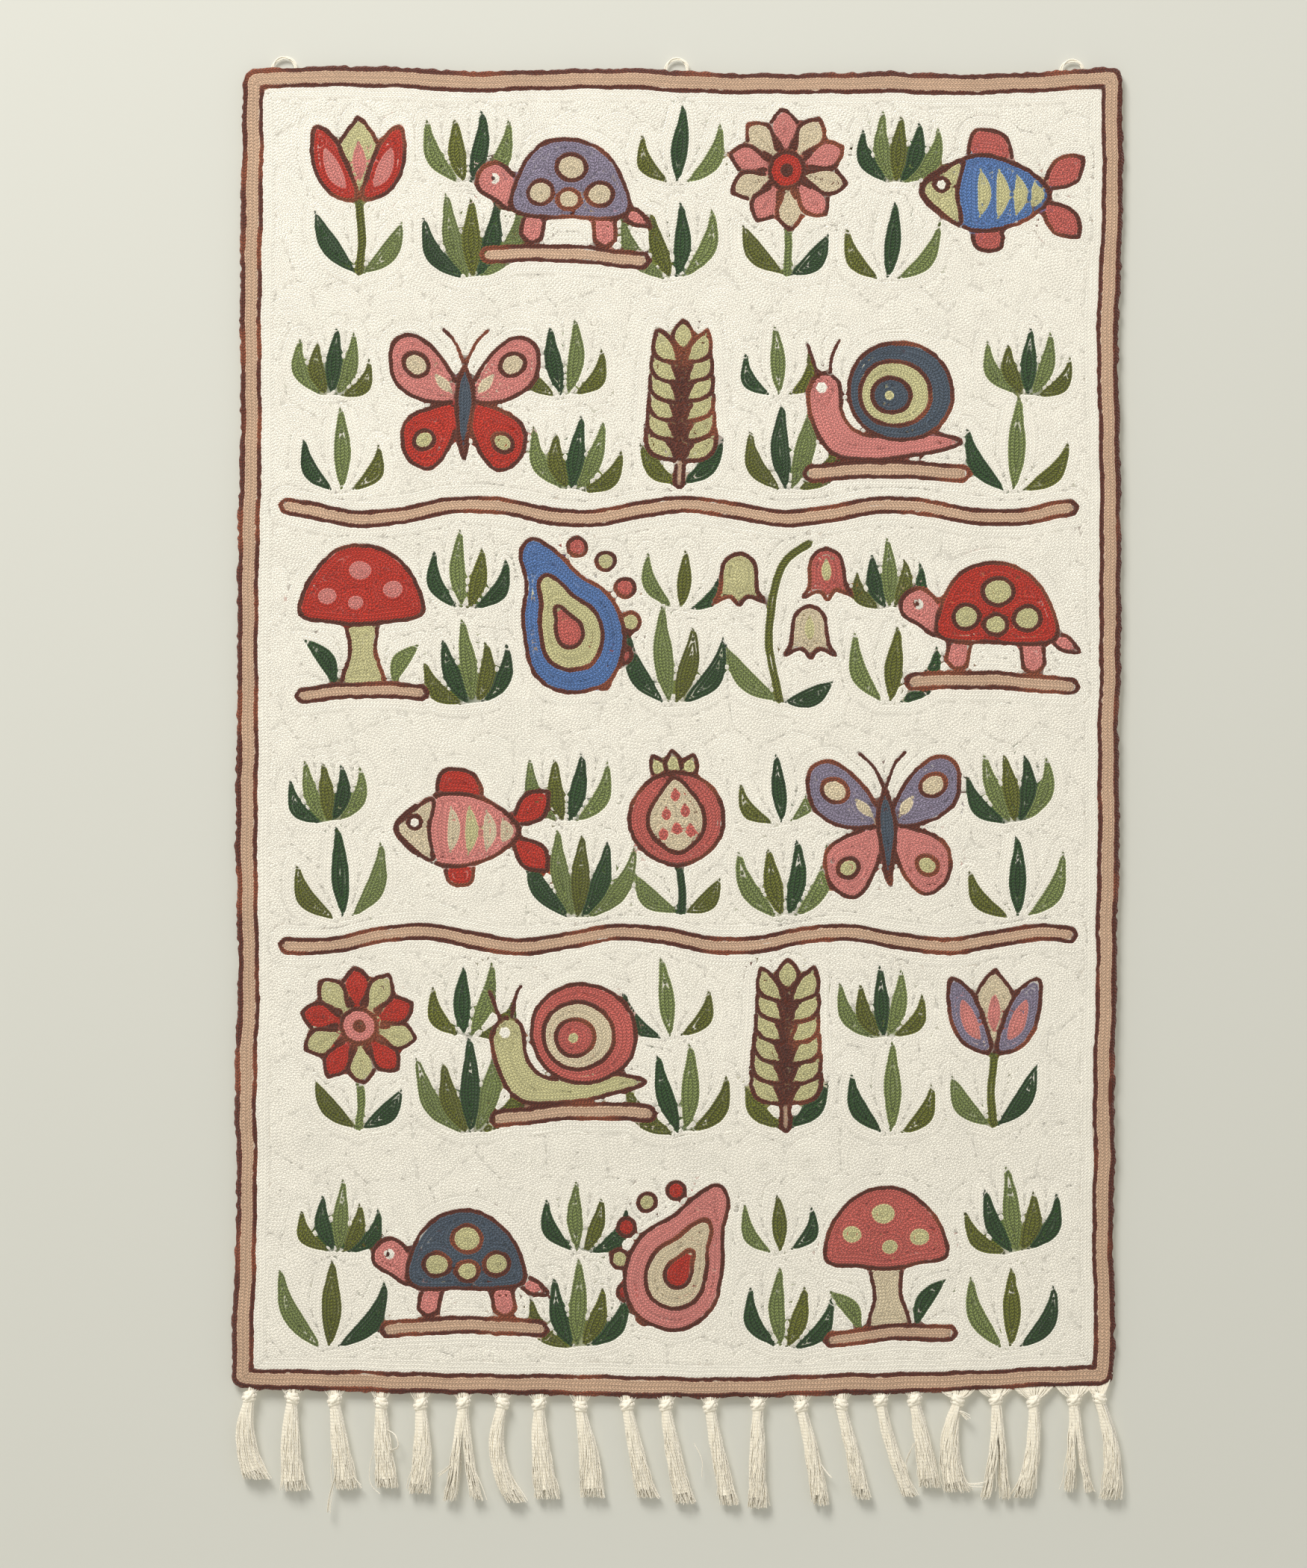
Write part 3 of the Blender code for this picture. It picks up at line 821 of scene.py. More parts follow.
rng = np.random.default_rng(8)
counts = np.array([len(r.line) for r in rows])
first = np.concatenate([[0], np.cumsum(counts)[:-1]])
last = first + counts - 1
row_of = np.repeat(np.arange(len(rows)), counts)
points = wander(np.concatenate([r.line for r in rows]))
ahead, behind = np.roll(points, -1, 0), np.roll(points, 1, 0)
ahead[last], behind[first] = points[last], points[first]
along = ahead - behind
along /= np.maximum(np.linalg.norm(along, axis=1), 1e-6)[:, None]
side = np.stack([-along[:, 1], along[:, 0]], 1)
step = np.linalg.norm(points - behind, axis=1)
run = np.cumsum(step)
run -= run[first][row_of]
half = np.array([r.width for r in rows])[row_of] / 2
wool_of = np.array([WOOL_LIST.index(r.wool) for r in rows])[row_of]
bark = wool_of == WOOL_LIST.index("bark")
ragged = rng.normal(0, 1, (3, len(points)))
smooth = (np.roll(ragged, 1, 1) + 1.6 * ragged + np.roll(ragged, -1, 1)) / 2.2
half = half * (1 + np.where(bark, 0.15, 0.05) * smooth[0])
points = points + side * (np.where(bark, 0.27, 0.08) * smooth[1])[:, None]
open_row = np.array([not r.ring for r in rows])
for tip in (first, last):
    half[tip] *= np.where(open_row, 0.6, 1.0)

# %% [markdown]
# Where a row bends tightly, its inner side would fold over itself and show as a dark speck. So each side
# reaches no further than the middle of the bend.

# %% Sides of the ridges
turning = along * 0
turning[:-1] = along[1:]
bend = along[:, 0] * turning[:, 1] - along[:, 1] * turning[:, 0]
bend[last] = 0
bend[first] = bend[np.minimum(first + 1, last)]
bend = bend / np.maximum(step, 0.5)
strongest = np.maximum(np.abs(bend), np.maximum(np.abs(np.roll(bend, 1)), np.abs(np.roll(bend, -1))))
bend = np.sign(bend) * strongest
room = 0.85 / np.maximum(np.abs(bend), 1e-3)
across = np.array([1.0, 0.0, -1.0])
reach = (half * OVERLAP)[:, None] * np.ones(3)
reach[:, 0] = np.where(bend > 0, np.minimum(reach[:, 0], room), reach[:, 0])
reach[:, 2] = np.where(bend < 0, np.minimum(reach[:, 2], room), reach[:, 2])
spots = points[:, None] + side[:, None] * (reach * across)[:, :, None]
white = wool_of == WOOL_LIST.index("cream")
valley = np.where(white, WHITE_VALLEY, VALLEY)[:, None]
ends = np.zeros(len(points))
for tip in (first, last):
    ends[tip] = open_row
crest = CREST + (valley - CREST) * 0.75 * ends[:, None]
lift = np.where(across == 0, crest, valley) + 0.06 * ragged[2][:, None]
outside = on_grid(inset, spots[:, :, 0], spots[:, :, 1], XS, ZS) < 0.9
lift = np.where(outside & (across != 0), 2.0, lift)
depth = on_grid(FRONT, spots[:, :, 0], spots[:, :, 1]) + lift
corners = np.stack([spots[:, :, 0], depth, spots[:, :, 1]], 2).reshape(-1, 3) * MM

# %% [markdown]
# ## Colour that varies with the yarn
# No two lengths of hand-dyed yarn are alike. Each row gets its own tone, the greens vary the most, and
# the brown yarn runs from near black to rust along its length. The colours are painted on the points of
# the mesh, because they follow the rows, which no texture in space does.

# %% Paint the ridges
TONE_SPREAD = {"pine": 0.16, "moss": 0.13, "fern": 0.1, "bark": 0.1, "cream": 0.025}
spread = np.array([TONE_SPREAD.get(name, 0.07) for name in WOOL_LIST])
tone = rng.uniform(-1, 1, len(rows))[row_of]
shade = 1 + spread[wool_of] * (0.6 * tone + 0.5 * drift(points[:, 0] + 40, points[:, 1], 17.0))
painted = WOOL_TABLE[wool_of] * shade[:, None]
rusty = np.clip(drift(points[:, 0], points[:, 1], 21.0) * 1.5 - 0.35, 0, 0.75) * bark
painted = painted * (1 - rusty[:, None]) + linear("rust") * rusty[:, None]
painted3 = np.repeat(painted, 3, 0)
PLAIT_RELIEF_AND_SHADE = {
    # how strongly the plait's relief and its painted shade in the dips show in each wool
    "cream": 0.36, "camel": 0.7, "sand": 0.7, "straw": 0.75, "rose": 0.85,
    "pine": 1.5, "moss": 1.4, "fern": 1.35,
}
plait_relief_and_shade = np.array([PLAIT_RELIEF_AND_SHADE.get(name, 1.0) for name in WOOL_LIST])[wool_of]

# %% [markdown]
# ## Tiles
# One mesh for all rows would be heavy, and its finish would come out coarse when it is saved as an
# image. The rows are shared out to tiles of about 20 cm. Each tile carries a flat map seen from the
# front, because the rows face that way and lie side by side.

# %% Ridge tiles
TILES_X, TILES_Z = 3, 5
CLOTH_LOW, CLOTH_HIGH = np.array([-312.0, -920.0]) * MM, np.array([306.0, 5.0]) * MM
linked = np.flatnonzero(row_of[:-1] == row_of[1:])
quads = np.concatenate([
    np.stack([3 * linked, 3 * linked + 1, 3 * linked + 4, 3 * linked + 3], 1),
    np.stack([3 * linked + 1, 3 * linked + 2, 3 * linked + 5, 3 * linked + 4], 1),
])
stitch_run = np.repeat(run / STITCH + 7 * tone, 3)
across3 = np.tile(across, len(points))

def mesh_from(name, vertices, faces, values, colours, low, high, flip=False):
    """A smooth mesh with its painted colours, its numbers and a flat map from the front."""
    mesh = bpy.data.meshes.new(name)
    mesh.from_pydata(vertices.tolist(), [], faces.tolist())
    mesh.polygons.foreach_set("use_smooth", np.ones(len(faces), bool))
    for key, numbers in values.items():
        mesh.attributes.new(key, "FLOAT", "POINT").data.foreach_set("value", np.asarray(numbers, np.float32))
    if colours is not None:
        rgba = np.concatenate([colours, np.ones((len(colours), 1))], 1).astype(np.float32)
        mesh.attributes.new("wool", "FLOAT_COLOR", "POINT").data.foreach_set("color", rgba.ravel())
    flat_map = mesh.uv_layers.new(name="OFBake")
    place = vertices[:, [0, 2]][faces.ravel()]
    unit = (place - low) / (high - low)
    if flip:
        unit[:, 0] = 1 - unit[:, 0]
    flat_map.data.foreach_set("uv", (0.01 + 0.98 * unit).astype(np.float32).ravel())
    made = bpy.data.objects.new(name, mesh)
    bpy.context.scene.collection.objects.link(made)
    return made

def tiled(name, vertices, faces, values, colours, flip=False):
    """Shares a mesh out to tiles."""
    centre = vertices[faces].mean(1)[:, [0, 2]]
    cell = np.floor((centre - CLOTH_LOW) / (CLOTH_HIGH - CLOTH_LOW) * (TILES_X, TILES_Z)).astype(int)
    cell = np.clip(cell, 0, (TILES_X - 1, TILES_Z - 1))
    made = []
    for i in range(TILES_X):
        for j in range(TILES_Z):
            mine = faces[(cell == (i, j)).all(1)]
            used, where = np.unique(mine, return_inverse=True)
            spots_used = vertices[used]
            low, high = spots_used.min(0)[[0, 2]], spots_used.max(0)[[0, 2]]
            picked = {key: numbers[used] for key, numbers in values.items()}
            label, corners_used = f"{name}_{i + 1}{j + 1}", where.reshape(mine.shape)
            made.append(mesh_from(label, spots_used, corners_used, picked, colours[used], low, high, flip))
    return made

values = {"run": stitch_run, "across": across3, "depth": np.repeat(plait_relief_and_shade, 3)}
stitch_tiles = tiled("stitching", corners, quads, values, painted3)
print("ridge tiles:", len(stitch_tiles), "faces:", len(quads))

# %% [markdown]
# ## Writing a finish
# A finish is a tree of nodes. Linking them one by one hides what is being worked out, so a wire is
# wrapped in a small class: an expression on wires adds the Math nodes that it stands for. Every other
# node comes from one method, which takes its type, its settings and what goes into its sockets.

# %% Wires and finishes
class Wire:
    """A number that changes over a surface."""

    def __init__(self, finish, socket):
        self.finish, self.socket = finish, socket

    def maths(self, operation, *values):
        made = self.finish.node("ShaderNodeMath", {"operation": operation}, dict(enumerate(values)))
        return Wire(self.finish, made.outputs[0])

    def __add__(self, other):
        return self.maths("ADD", self, other)

    def __sub__(self, other):
        return self.maths("SUBTRACT", self, other)

    def __rsub__(self, other):
        return self.maths("SUBTRACT", other, self)

    def __mul__(self, other):
        return self.maths("MULTIPLY", self, other)

    def __pow__(self, other):
        return self.maths("POWER", self, other)

    def __abs__(self):
        return self.maths("ABSOLUTE", self)

    __radd__, __rmul__ = __add__, __mul__

    def part(self):
        """What is left after the whole number."""
        return self.maths("FRACT", self)

    def wave(self):
        return self.maths("SINE", self)

    def eased(self, low, high):
        """0 below low, 1 above high and smooth between."""
        ramp = {"interpolation_type": "SMOOTHSTEP"}
        made = self.finish.node("ShaderNodeMapRange", ramp, {0: self, 1: low, 2: high})
        return Wire(self.finish, made.outputs[0])

class Finish:
    """One material: its nodes and the shader that they feed."""

    def __init__(self, name, roughness=0.9, sheen=0.0):
        self.material = bpy.data.materials.new(name)
        self.material.use_nodes = True
        self.tree = self.material.node_tree
        self.shader = self.tree.nodes["Principled BSDF"]
        self.shader.inputs["Roughness"].default_value = roughness
        self.shader.inputs["Specular IOR Level"].default_value = 0.25
        self.shader.inputs["Sheen Weight"].default_value = sheen
        self.shader.inputs["Sheen Roughness"].default_value = 0.55

    def node(self, kind, settings=None, values=None):
        made = self.tree.nodes.new(kind)
        for key, setting in (settings or {}).items():
            setattr(made, key, setting)
        for key, value in (values or {}).items():
            self.feed(made.inputs[key], value)
        return made

    def feed(self, socket, value):
        if isinstance(value, Wire):
            value = value.socket
        if isinstance(value, bpy.types.NodeSocket):
            self.tree.links.new(value, socket)
        else:
            socket.default_value = value

    def number(self, name):
        """A number painted on the mesh."""
        return Wire(self, self.node("ShaderNodeAttribute", {"attribute_name": name}).outputs["Fac"])

    def paint(self, name):
        """A colour painted on the mesh."""
        return self.node("ShaderNodeAttribute", {"attribute_name": name}).outputs["Color"]

    def place(self):
        return self.node("ShaderNodeTexCoord").outputs["Object"]

    def noise(self, scale, detail=2.0):
        values = {"Vector": self.place(), "Scale": scale, "Detail": detail}
        return Wire(self, self.node("ShaderNodeTexNoise", None, values).outputs["Fac"])

    def shaded(self, colour, light):
        """The colour made darker or lighter by a number."""
        return self.node("ShaderNodeVectorMath", {"operation": "SCALE"}, {0: colour, 3: light}).outputs[0]

    def mixed(self, first, second, share):
        return self.node("ShaderNodeMix", {"data_type": "RGBA"}, {0: share, 6: first, 7: second}).outputs[2]

    def relief(self, height, distance):
        made = self.node("ShaderNodeBump", None, {"Height": height, "Distance": distance})
        self.feed(self.shader.inputs["Normal"], made.outputs[0])

    def colour(self, value):
        self.feed(self.shader.inputs["Base Color"], value)

    def dress(self, *pieces):
        for piece in pieces:
            piece.data.materials.clear()
            piece.data.materials.append(self.material)

# %% [markdown]
# ## Chain-stitched wool
# Seen close, a row of chain stitch is a plait: on each side of its middle the yarn lies slanted, so the
# row looks like a line of small letters V. Two numbers painted on the rows, how far along and how far
# across, give that plait. The dips between the strands and the row's middle get painted shade, and a fine fuzz
# covers everything.

# %% Wool
def stitched_wool(name):
    wool = Finish(name, roughness=0.92, sheen=0.25)
    along, across, depth = wool.number("run"), abs(wool.number("across")), wool.number("depth")
    uneven = wool.noise(330.0, 2.0) - 0.5
    phase = (along + across * 0.8 + uneven * 0.9).part()
    strand = 1 - (phase * 2 - 1) ** 2
    parting = across.eased(0.0, 0.3)
    fuzz = wool.noise(1400.0, 2.0)
    height = strand * (parting * 0.6 + 0.4) * (depth * 0.8 + 0.2) + fuzz * 0.4
    wool.relief(height, 0.0008)
    cloudy = wool.noise(60.0, 3.0)
    # painted shade: the dips between the slanted strands and the row's middle, where its two sides part, are
    # darkened, more in wools with a deeper plait; the crests come out a little lighter
    painted_dip_shade = (1 - strand * parting) * depth
    light = (1.08 - painted_dip_shade * 0.5) * (fuzz * 0.3 + 0.85) * (cloudy * 0.14 + 0.93)
    wool.colour(wool.shaded(wool.paint("wool"), light))
    return wool

wool = stitched_wool("stitched_wool_rows")
wool.dress(*stitch_tiles)
print("wool finish on", len(stitch_tiles), "tiles")

# %% [markdown]
# ## The cloth under the stitches
# Between the rows and at the rim a little of the cloth shows. It is the solid panel, cut into small
# faces and pressed in where the stitches stand on it, deeper under the colours. Its front is painted as
# the pattern above it, so that a gap seldom shows the wrong colour. Its back is plain cotton canvas.

# %% The canvas
SUNK, SUNK_WHITE, NEAR = 0.62, 0.36, 3.8
shape = bmesh.new()
shape.from_mesh(panel.data)
bmesh.ops.remove_doubles(shape, verts=shape.verts, dist=0.00001)
shape.normal_update()
fronts = [e for e in shape.edges if all(f.normal.y < -0.5 for f in e.link_faces)]
bmesh.ops.subdivide_edges(shape, edges=fronts, cuts=9)
shape.normal_update()
backs = [e for e in shape.edges if all(f.normal.y > 0.5 for f in e.link_faces)]
bmesh.ops.subdivide_edges(shape, edges=backs, cuts=2)
bmesh.ops.triangulate(shape, faces=shape.faces)
shape.verts.index_update()
at = np.array([v.co for v in shape.verts]) / MM
front, back = on_grid(FRONT, at[:, 0], at[:, 2]), on_grid(BACK, at[:, 0], at[:, 2])
share = np.clip((at[:, 1] - front) / (back - front), 0, 1)
flat_at = at[:, [0, 2]]
label = wool_at(flat_at)
cream = WOOL_LIST.index("cream")
near_colour = np.zeros(len(at), bool)
for angle in range(0, 360, 30):
    near_colour |= wool_at(flat_at + turned([(NEAR, 0)], angle)[0]) != cream
sunk = np.where(near_colour | (label != cream), SUNK, SUNK_WHITE)
pressed = at.copy()
pressed[:, 1] = front + sunk + share * (back - front - sunk)
edge = on_grid(inset, at[:, 0], at[:, 2], XS, ZS)
towards = np.stack([-3.0 - at[:, 0], -457 - at[:, 2]], 1)
towards /= np.linalg.norm(towards, axis=1)[:, None]
pressed[:, [0, 2]] += towards * (np.clip(1.2 - edge, 0, 1.2) * 0.9)[:, None]
faces = np.array([[v.index for v in f.verts] for f in shape.faces])
shape.free()
under = WOOL_TABLE[label]
turned_back = np.clip((share - 0.15) / 0.3, 0, 1)[:, None]
under = under * (1 - turned_back) + linear("canvas") * turned_back
canvas = mesh_from("canvas", pressed * MM, faces, {"back": share}, under, CLOTH_LOW, CLOTH_HIGH)
canvas.data.uv_layers.remove(canvas.data.uv_layers["OFBake"])

def cotton_canvas(name):
    """Plain weave: threads that pass over and under each other, a little under a millimetre apart."""
    cloth = Finish(name, roughness=0.95, sheen=0.1)
    apart = cloth.node("ShaderNodeSeparateXYZ", None, {0: cloth.place()})
    turns = 2 * math.pi / 0.0009
    warp = (Wire(cloth, apart.outputs["X"]) * turns).wave()
    weft = (Wire(cloth, apart.outputs["Z"]) * turns).wave()
    slubs = cloth.noise(260.0, 3.0)
    height = warp * weft * 0.5 + slubs
    cloth.relief(height, 0.00035)
    # painted shade: the weave is darker where its threads dip under each other
    light = (warp * weft * 0.06 + 0.92) * (slubs * 0.2 + 0.9)
    cloth.colour(cloth.shaded(cloth.paint("wool"), light))
    return cloth

cotton_canvas("cotton_canvas").dress(canvas)
print("canvas faces:", len(faces))

# %% [markdown]
# ## The back of the work
# On the back each chain stitch leaves one short straight stitch, so the whole pattern shows there in
# thin dashes, mirrored. The same rows are laid on the back as narrow strips, and the finish breaks them
# into stitches.

# %% Rows on the back
keep = np.zeros(len(points), bool)
for start, end in zip(first, last):
    keep[start:end + 1:2] = True
    keep[end] = True
kept = np.flatnonzero(keep)
reverse = points[kept]
pairs = np.array([0.55, -0.55])
spots = reverse[:, None] + side[kept][:, None] * pairs[None, :, None]
depth = on_grid(BACK, spots[:, :, 0], spots[:, :, 1]) + 0.16
strips = np.stack([spots[:, :, 0], depth, spots[:, :, 1]], 2).reshape(-1, 3) * MM
joined = np.flatnonzero(row_of[kept][:-1] == row_of[kept][1:])
faces = np.stack([2 * joined, 2 * joined + 2, 2 * joined + 3, 2 * joined + 1], 1)
values = {"run": np.repeat(run[kept] / STITCH + 7 * tone[kept], 2), "across": np.tile([1.0, -1.0], len(kept))}
dim = np.repeat(painted[kept], 2, 0) * 0.92

def back_stitches(name):
    thread = Finish(name, roughness=0.92, sheen=0.15)
    along, across = thread.number("run"), thread.number("across")
    dash = (abs(along.part() - 0.5) * -1).eased(-0.44, -0.3)
    round_top = 1 - across ** 2
    twist = ((along * 4 + across * 0.6).part() * 2 - 1) ** 2
    thread.relief(dash * (round_top + (1 - twist) * 0.3), 0.0004)
    cloth_colour = (*linear("canvas") * 0.9, 1.0)
    # painted shade: each stitch is darker between its twisted strands and lighter on their crests
    lit = thread.shaded(thread.paint("wool"), (1 - twist) * 0.25 + 0.78)
    thread.colour(thread.mixed(cloth_colour, lit, dash))
    return thread

back_tiles = tiled("back_stitches", strips, faces, values, dim, flip=True)
back_stitches("back_stitch_wool").dress(*back_tiles)
print("back tiles:", len(back_tiles), "faces:", len(faces))

# %% [markdown]
# ## Tassels
# Each tassel is a bunch of cotton threads. They leave the lower edge in a fan, pass through one round
# knot and hang down from it. No two hang alike: some lean, one parts in two, and each knot sits a little
# differently. One row of numbers per tassel holds that, in millimetres.

# %% Where the tassels hang
TASSELS = [
    # knot x, knot z, x half way, tip x, tip z, tip width, parting, twist, fan width
    (-300.0, -917.5, -302.5, -295.0, -974, 18, 0, 20, 17),
    (-270.5, -918.5, -271.5, -269.0, -982, 17, 0, -15, 19),
    (-241.0, -920.0, -237.0, -233.0, -981, 15, 0, 10, 20),
    (-209.0, -922.0, -207.5, -204.5, -980, 15, 0, 15, 22),
    (-181.5, -923.0, -180.5, -182.0, -984, 16, 0, -40, 16),
    (-152.0, -922.0, -152.0, -149.5, -989, 16, 8, 0, 18),
    (-125.0, -922.0, -128.5, -116.5, -990, 13, 0, -70, 18),
    (-99.5, -923.0, -98.0, -93.5, -988, 17, 0, 10, 17),
    (-71.0, -924.5, -65.5, -62.0, -987, 17, 0, -60, 18),
    (-38.5, -923.5, -32.0, -24.5, -987, 13, 0, -30, 19),
    (-11.5, -923.5, -6.0, 1.5, -991, 14, 0, 25, 18),
    (19.0, -924.5, 25.0, 32.5, -992, 12, 0, -75, 18),
    (52.0, -923.5, 51.5, 52.0, -994, 13, 0, -80, 14),
    (82.0, -924.5, 90.0, 95.0, -992, 12, 0, -75, 20),
    (109.5, -923.0, 117.5, 124.5, -988, 11, 0, -70, 16),
    (137.0, -920.5, 145.0, 157.0, -986, 9, 0, -40, 20),
    (160.5, -920.0, 166.5, 171.0, -980, 14, 0, 15, 20),
    (190.0, -920.0, 184.5, 190.5, -983, 17, 0, -50, 22),
    (217.0, -919.5, 218.5, 218.0, -988, 11, 6, 10, 22),
    (243.0, -921.0, 242.0, 235.0, -987, 11, 0, 60, 26),
    (271.0, -920.0, 273.0, 276.0, -983, 11, 6, 0, 20),
    (288.5, -919.0, 297.0, 296.0, -988, 13, 0, -45, 11),
]
lower_rim = OUTLINE[OUTLINE[:, 1] < -880]
lower_rim = lower_rim[np.argsort(lower_rim[:, 0])]

def rim_at(x):
    """The lower edge at x, and the depth of the middle of the cloth there."""
    z = np.interp(x, lower_rim[:, 0], lower_rim[:, 1])
    inside = z + 3.0
    return z, (on_grid(FRONT, x, inside) + on_grid(BACK, x, inside)) / 2

# %% [markdown]
# ## Threads
# A thread is a thin tube along a line. All the threads of a tassel are made at once, so a whole tassel is
# a few sums on tables instead of many small steps. Each thread keeps how far along and how far around
# every point lies, and the finish twists its strands from those numbers.

# %% Tubes along many lines
class Bunch:
    """Tubes gathered into one mesh."""

    def __init__(self):
        self.vertices, self.faces, self.run, self.turn, self.count = [], [], [], [], 0

    def add(self, lines, radius, sides=3, flat=1.0):
        """Adds tubes along lines, a table (threads, points, 3).
        radius, and flat, which is the depth's share of it, fit (threads, points)."""
        threads, steps = lines.shape[:2]
        radius = np.broadcast_to(radius, (threads, steps))
        forward = np.gradient(lines, axis=1)
        forward /= np.maximum(np.linalg.norm(forward, axis=2), 1e-6)[:, :, None]
        level = np.where(np.abs(forward[:, :, 1:2]) < 0.8, np.array([0.0, 1.0, 0.0]), np.array([0.0, 0.0, 1.0]))
        u = np.cross(forward, level)
        u /= np.linalg.norm(u, axis=2)[:, :, None]
        v = np.cross(forward, u)
        angle = 2 * math.pi * np.arange(sides) / sides
        around = u[:, :, None] * np.cos(angle)[:, None] + v[:, :, None] * np.sin(angle)[:, None]
        around = around * radius[:, :, None, None]
        around[..., 1] *= np.broadcast_to(flat, (threads, steps))[:, :, None]
        body = lines[:, :, None] + around
        lengths = np.cumsum(np.linalg.norm(np.diff(lines, axis=1), axis=2), 1)
        run = np.concatenate([np.zeros((threads, 1)), lengths], 1)
        grid = self.count + np.arange(threads * steps * sides).reshape(threads, steps, sides)
        beside = np.roll(grid, -1, 2)
        quads = np.stack([grid[:, :-1], beside[:, :-1], beside[:, 1:], grid[:, 1:]], -1)
        self.vertices.append(body.reshape(-1, 3))
        self.faces.append(quads.reshape(-1, 4))
        self.run.append(np.repeat(run.ravel(), sides))
        self.turn.append(np.tile(angle / (2 * math.pi), threads * steps))
        self.count += threads * steps * sides

    def made(self, name):
        """The finished mesh object."""
        vertices, faces = np.concatenate(self.vertices) * MM, np.concatenate(self.faces)
        values = {"run": np.concatenate(self.run), "turn": np.concatenate(self.turn)}
        low, high = vertices.min(0)[[0, 2]], vertices.max(0)[[0, 2]]
        piece = mesh_from(name, vertices, faces, values, None, low, high)
        piece.data.uv_layers.remove(piece.data.uv_layers["OFBake"])
        return piece

# %% [markdown]
# ## One tassel
# The threads start spread over the knot's foot and keep their order as the bunch widens, twists and
# bends towards its tip. Each has a slow crimp left from the knotting, and some come loose from the bunch.
# A plain core in the middle of the bunch stands for the threads that can't be seen.

# %% Hanging threads, fan and knot
SHELL, INNER, STEPS = 58, 34, 18
KNOT_HALF, KNOT_DEEP = 3.75, 2.7
THREADS = SHELL + INNER

def bunch_line(tassel, share):
    """The middle of the bunch from the knot's foot (0) to its tip (1)."""
    knot_x, knot_z, waist_x, tip_x, tip_z = tassel[:5]
    bend = waist_x - (knot_x + tip_x) / 2
    x = knot_x + (tip_x - knot_x) * share + 4 * bend * share * (1 - share)
    return x, knot_z - 2.5 + (tip_z - knot_z + 2.5) * share

def opening(way):
    """How far the bunch has opened: just below the knot, and over its whole length."""
    swell = np.sin(np.minimum(way * 2.0, 1.0) * math.pi / 2)
    return swell, 0.35 * swell + 0.65 * way ** 1.3


def hang(bunch, tassel, y, rng):
    """The threads below the knot."""
    tip_width, parting, twist = tassel[5:8]
    share = np.linspace(0, 1, STEPS)[None]
    reach = 1.02 - 0.13 * rng.random((THREADS, 1)) ** 1.8
    way = share * reach
    x, z = bunch_line(tassel, way)
    order = np.arange(THREADS)[:, None]
    outer = order < SHELL
    angle = 2 * math.pi * (order + rng.uniform(-0.5, 0.5, (THREADS, 1))) / np.where(outer, SHELL, INNER)
    off = np.where(outer, rng.uniform(0.84, 1.0, (THREADS, 1)), np.sqrt(rng.uniform(0.05, 0.8, (THREADS, 1))))
    turn = angle + math.radians(twist) * way
    swell, opened = opening(way)
    half = 3.2 + (tip_width / 2 - 3.4) * opened
    deep = 2.6 + 0.5 * swell
    crimp = rng.uniform(0.2, 0.9, (THREADS, 1)) * way ** 0.6
    pace, start = rng.uniform(7, 24, (THREADS, 1)), rng.uniform(0, 6.3, (THREADS, 1))
    wave = crimp * np.sin(pace * way + start)
    x = x + off * half * np.cos(turn) + wave
    leaving = parting * way ** 2
    x = x + np.where(np.cos(angle) < 0, -leaving, leaving * 0.4)
    stray = (rng.random((THREADS, 1)) < 0.09) * rng.uniform(-5, 5, (THREADS, 1))
    flare = rng.uniform(-1.6, 1.6, (THREADS, 1))
    x = x + stray * way ** 2.5 + flare * way ** 6
    depth = y + off * deep * np.sin(turn) + crimp * np.cos(pace * way + start) * 0.35
    z = z - 0.4 * np.cos(pace * way) * crimp
    bunch.add(np.stack([x, depth, z], 2), 0.56 - 0.2 * share ** 2)
    if parting:
        return
    way = np.linspace(0, 0.9, 9)[None]
    x, z = bunch_line(tassel, way)
    wide = 2.8 + (tip_width / 2 - 3.4) * opening(way)[1] * 0.9
    bunch.add(np.stack([x, np.full_like(x, y), z], 2), wide, sides=12, flat=2.45 / wide)

def fan(bunch, tassel, y, rng, swag=0.0):
    """The threads between the cloth's edge and the knot: a close neck, a few that spread, and on some
    tassels a wide loose web that reaches swag millimetres to each side."""
    knot_x, knot_z = tassel[:2]
    threads = 64 if swag else 22
    spread = np.linspace(-1, 1, threads)
    if swag:
        start = knot_x + spread * swag
    else:
        start = knot_x + np.sign(spread) * np.abs(spread) ** 4 * 4.5 + spread * 3.4
    start = start + rng.uniform(-0.4, 0.4, threads)
    start = np.clip(start, OUTLINE[:, 0].min() + 12, OUTLINE[:, 0].max() - 7)
    rim_z, rim_y = rim_at(start)
    top = np.stack([start, rim_y + 0.4, rim_z + 2.2], 1)
    foot_y = y + rng.uniform(-2.0, 2.0, threads)
    foot = np.stack([knot_x + spread * 2.6, foot_y, np.full(threads, knot_z + 1.2)], 1)
    share = np.linspace(0, 1, 7)[None, :, None]
    lines = top[:, None] + (foot - top)[:, None] * share
    sag = (1.1 if swag else 0.7) * np.abs(spread) + (rng.uniform(0, 0.7, threads) if swag else 0)
    lines[:, :, 2] -= sag[:, None] * np.sin(share[:, :, 0] * math.pi)
    lines[:, :, 1] -= 0.5 * np.sin(share[:, :, 0] * math.pi)
    bunch.add(lines, np.where(np.abs(spread) < 0.7, 0.62, 0.5 if swag else 0.3)[:, None])

